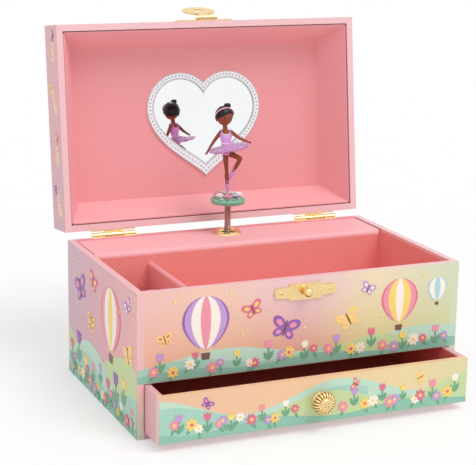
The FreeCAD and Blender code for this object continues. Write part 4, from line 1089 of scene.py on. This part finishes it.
def ring_rolls():
    """Foam rolls under flock, swelled by a cloth pressure run at ten times size and set back in place."""
    lo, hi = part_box("ring_rolls")
    wide = hi[0] - lo[0]
    tall = hi[2] - lo[2]
    pitch = (hi[1] - lo[1] + ROLL_GAP) / ROLL_COUNT
    r = (pitch - ROLL_GAP) / 2
    slim = r * ROLL_SLIM
    crown = [(-slim * cos(pi * t), tall - r + slim * sin(pi * t)) for t in shares(14)]
    outline = [(-slim, 0), *crown, (slim, 0)]
    bm = bmesh.new()
    bridge(bm, [[bm.verts.new(Vector((x, y, z)) * ROLL_BIG) for y, z in outline]
                for x in (-wide / 2 * ROLL_SHORT, wide / 2 * ROLL_SHORT)])
    roll = piece("ring_roll_form", bm, None, [M["roll"]])
    remesh = roll.modifiers.new("even", "REMESH")
    remesh.mode = "VOXEL"
    remesh.voxel_size = ROLL_VOXEL
    settle(roll)
    swell(roll, ROLL_SWELL)
    fine = roll.modifiers.new("fine", "SUBSURF")
    fine.levels = 1
    settle(roll)
    form = roll.data
    bpy.data.objects.remove(roll)
    bm = bmesh.new()
    for n in range(ROLL_COUNT):
        first = len(bm.verts)
        bm.from_mesh(form)
        bm.verts.ensure_lookup_table()
        middle = Vector(((lo[0] + hi[0]) / 2, lo[1] + r + pitch * n, lo[2]))
        droop = rng.uniform(-0.25, 0.1) * MM
        for vert in bm.verts[first:]:
            x, y, z = vert.co / ROLL_BIG
            vert.co = middle + Vector((max(-wide / 2, min(wide / 2, x)), max(-r, min(r, y)),
                                       max(0.0, min(tall, z)) + droop * z / tall))
    obj = piece("ring_rolls_soft", bm, "box", [M["roll"]])
    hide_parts("ring_rolls")


def settle(obj):
    """Apply an object's modifiers to its mesh."""
    graph = bpy.context.evaluated_depsgraph_get()
    mesh = bpy.data.meshes.new_from_object(obj.evaluated_get(graph))
    obj.modifiers.clear()
    obj.data = mesh


def swell(obj, cap):
    """Blow the cloth up a little from inside, and limit how far any point moves."""
    before = [v.co.copy() for v in obj.data.vertices]
    cloth = obj.modifiers.new("cloth", "CLOTH").settings
    cloth.use_pressure = True
    cloth.uniform_pressure_force = ROLL_PRESSURE
    cloth.effector_weights.gravity = 0.0
    cloth.quality = 4
    scene = bpy.context.scene
    for n in range(1, CLOTH_FRAMES + 1):
        scene.frame_set(n)
    settle(obj)
    scene.frame_set(1)
    for vert, place in zip(obj.data.vertices, before):
        move = vert.co - place
        if move.length > cap:
            vert.co = place + move * (cap / move.length)


def drawer_lining():
    """Felt on the drawer's inside faces, a card's thickness proud of the boards."""
    side_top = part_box("drawer_left_side")[1]
    t = 0.25 * MM
    x0, x1 = side_top[0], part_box("drawer_right_side")[0][0]
    y0, y1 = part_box("drawer_front")[1][1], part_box("drawer_back")[0][1]
    z0, z1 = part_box("drawer_bottom")[1][2] + t, side_top[2] - 0.6 * MM
    bm = bmesh.new()
    for a, b in (((x0, y0, z0), (x0 + t, y1, z1)), ((x1 - t, y0, z0), (x1, y1, z1)),
                 ((x0 + t, y1 - t, z0), (x1 - t, y1, z1)), ((x0 + t, y0, z0), (x1 - t, y0 + t, z1))):
        a, b = Vector(a), Vector(b)
        cube = bmesh.ops.create_cube(bm, size=1.0)
        card = Matrix.Translation((a + b) / 2) @ Matrix.Diagonal((*(b - a), 1))
        bmesh.ops.transform(bm, matrix=card, verts=cube["verts"])
    obj = piece("drawer_felt", bm, "drawer", [M["drawer_in"]], smooth=False)


def ribbed_knob():
    """The drawer knob: a turned foot and neck, a crown of rounded ribs with painted shade in their grooves,
    and a button with four holes painted as black dots of shade.

    The profile gives shares of the radius and of the depth, and how much of the ribs shows there.
    """
    lo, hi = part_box("drawer_knob")
    r = (hi[0] - lo[0]) / 2
    deep = hi[1] - lo[1]
    ribs, around, hole_shade_dot, groove_shade = 20, 240, 1, 2
    profile = ((0.72, 0.0, 0.0), (0.72, 0.1, 0.0), (0.5, 0.2, 0.0), (0.42, 0.34, 0.0), (0.78, 0.45, 0.3),
               (0.93, 0.53, 1.0), (0.99, 0.62, 1.0), (0.99, 0.7, 1.0), (0.94, 0.79, 1.0), (0.84, 0.87, 1.0),
               (0.72, 0.92, 0.9), (0.58, 0.93, 0.5), (0.52, 0.9, 0.0), (0.48, 0.9, 0.0), (0.47, 0.96, 0.0),
               (0.42, 1.0, 0.0))
    bm = bmesh.new()
    rings = []
    for wide, high, rib in profile:
        ring = []
        for a in angles(around):
            groove = rib * (0.5 + 0.5 * cos(ribs * a)) ** 3
            sink = 0.09 * groove if high > 0.6 else 0.0
            ring.append(bm.verts.new(polar(r * wide * (1 - 0.05 * groove), a, deep * (high - sink))))
        rings.append(ring)
    faces = spindle(bm, rings, 0.0, deep * 0.99)
    # Faces in the grooves between the ribs take the darker brass: painted shade
    for n, (_, _, rib) in enumerate(profile[1:]):
        for k, a in enumerate(angles(around, pi / around)):
            if rib > 0.4 and cos(ribs * a) > 0.45:
                faces[n * around + k].material_index = groove_shade
    # The four holes are flat black dots: painted shade, no hole is cut
    for a in angles(4, pi / 4):
        blob(bm, polar(r * 0.2, a, deep * 0.985), (r * 0.075, r * 0.075, deep * 0.012), hole_shade_dot, None, 12)
    foot = Matrix.Translation(((lo[0] + hi[0]) / 2, hi[1], (lo[2] + hi[2]) / 2))
    bm.transform(foot @ Matrix.Rotation(pi / 2, 4, "X"))
    knob = piece("ribbed_knob", bm, "drawer", [M["brass"], M["black"], M["groove_shade"]])
    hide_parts("drawer_knob")


# Studio
def seen_ray(tree):
    """1 for rays that the camera, a reflection or glass sends, 0 for rays that light the object."""
    rays = node(tree, "LightPath").outputs
    return greatest(tree, [rays[kind] for kind in ("Is Camera Ray", "Is Glossy Ray", "Is Transmission Ray")])


def show(tree, factor, lit, shown, output):
    """Mix what lights the object with what the camera sees, and send it to the output."""
    blend = node(tree, "MixShader", {"Fac": factor, 1: lit, 2: shown})
    tree.links.new(blend.outputs["Shader"], tree.nodes[output].inputs["Surface"])


def floor_paper():
    """White paper that shows part of its white by itself, so that shadows on it stay soft."""
    mat = surface("floor_paper", (250, 250, 250), (0.7, 0.8), 0.01, 30, 0.0, 0.05)
    tree = mat.node_tree
    glow = node(tree, "Emission").outputs["Emission"]
    part = node(tree, "Math", {0: seen_ray(tree), 1: FLOOR_GLOW}, operation="MULTIPLY").outputs["Value"]
    show(tree, part, tree.nodes["Principled BSDF"].outputs["BSDF"], glow, "Material Output")
    return mat


def place_camera(scene):
    yaw, pitch, roll = (radians(a) for a in (CAMERA_YAW, CAMERA_PITCH, CAMERA_ROLL))
    level = Matrix.Rotation(yaw, 4, "Z") @ Matrix.Rotation(pi / 2 - pitch, 4, "X")
    camera = bpy.data.objects.new("camera", bpy.data.cameras.new("camera"))
    place = Matrix.Translation(Vector(CAMERA_PLACE) * MM)
    camera.matrix_world = place @ level @ Matrix.Rotation(roll, 4, "Z")
    camera.data.sensor_width = SENSOR_WIDTH
    camera.data.lens = FOCAL_PIXELS * SENSOR_WIDTH / IMAGE_WIDTH
    scene.collection.objects.link(camera)
    scene.camera = camera


def studio():
    scene = bpy.context.scene
    scene.view_settings.view_transform = "Standard"
    place_camera(scene)

    bm = bmesh.new()
    bmesh.ops.create_grid(bm, x_segments=1, y_segments=1, size=FLOOR_HALF)
    floor = piece("floor", bm, None, [floor_paper()])
    floor.location.z = -FLOOR_DROP

    world = bpy.data.worlds.new("studio")
    scene.world = world
    world.use_nodes = True
    tree = world.node_tree
    tree.nodes.remove(tree.nodes["Background"])
    white = (1, 1, 1, 1)
    lit, shown = (node(tree, "Background", {"Color": white, "Strength": level}).outputs["Background"]
                  for level in (WORLD_LEVEL, 1.0))
    show(tree, seen_ray(tree), lit, shown, "World Output")

    for name, (place, strength, spread) in SUNS.items():
        lamp = bpy.data.lights.new(name, "SUN")
        lamp.energy = strength
        lamp.angle = radians(spread)
        obj = bpy.data.objects.new(name, lamp)
        obj.rotation_euler = (-Vector(place)).to_track_quat("-Z", "Y").to_euler()
        scene.collection.objects.link(obj)


for make in (dress_boards, dress_plain, front_print, drawer_print, side_prints, back_print, lid_print,
             drawer_lining, doll_body, doll_face, doll_hair, doll_dress, doll_tutu, doll_slippers,
             base_flowers, stem_coil, mirror_trim, ring_rolls, ribbed_knob, studio):
    make()
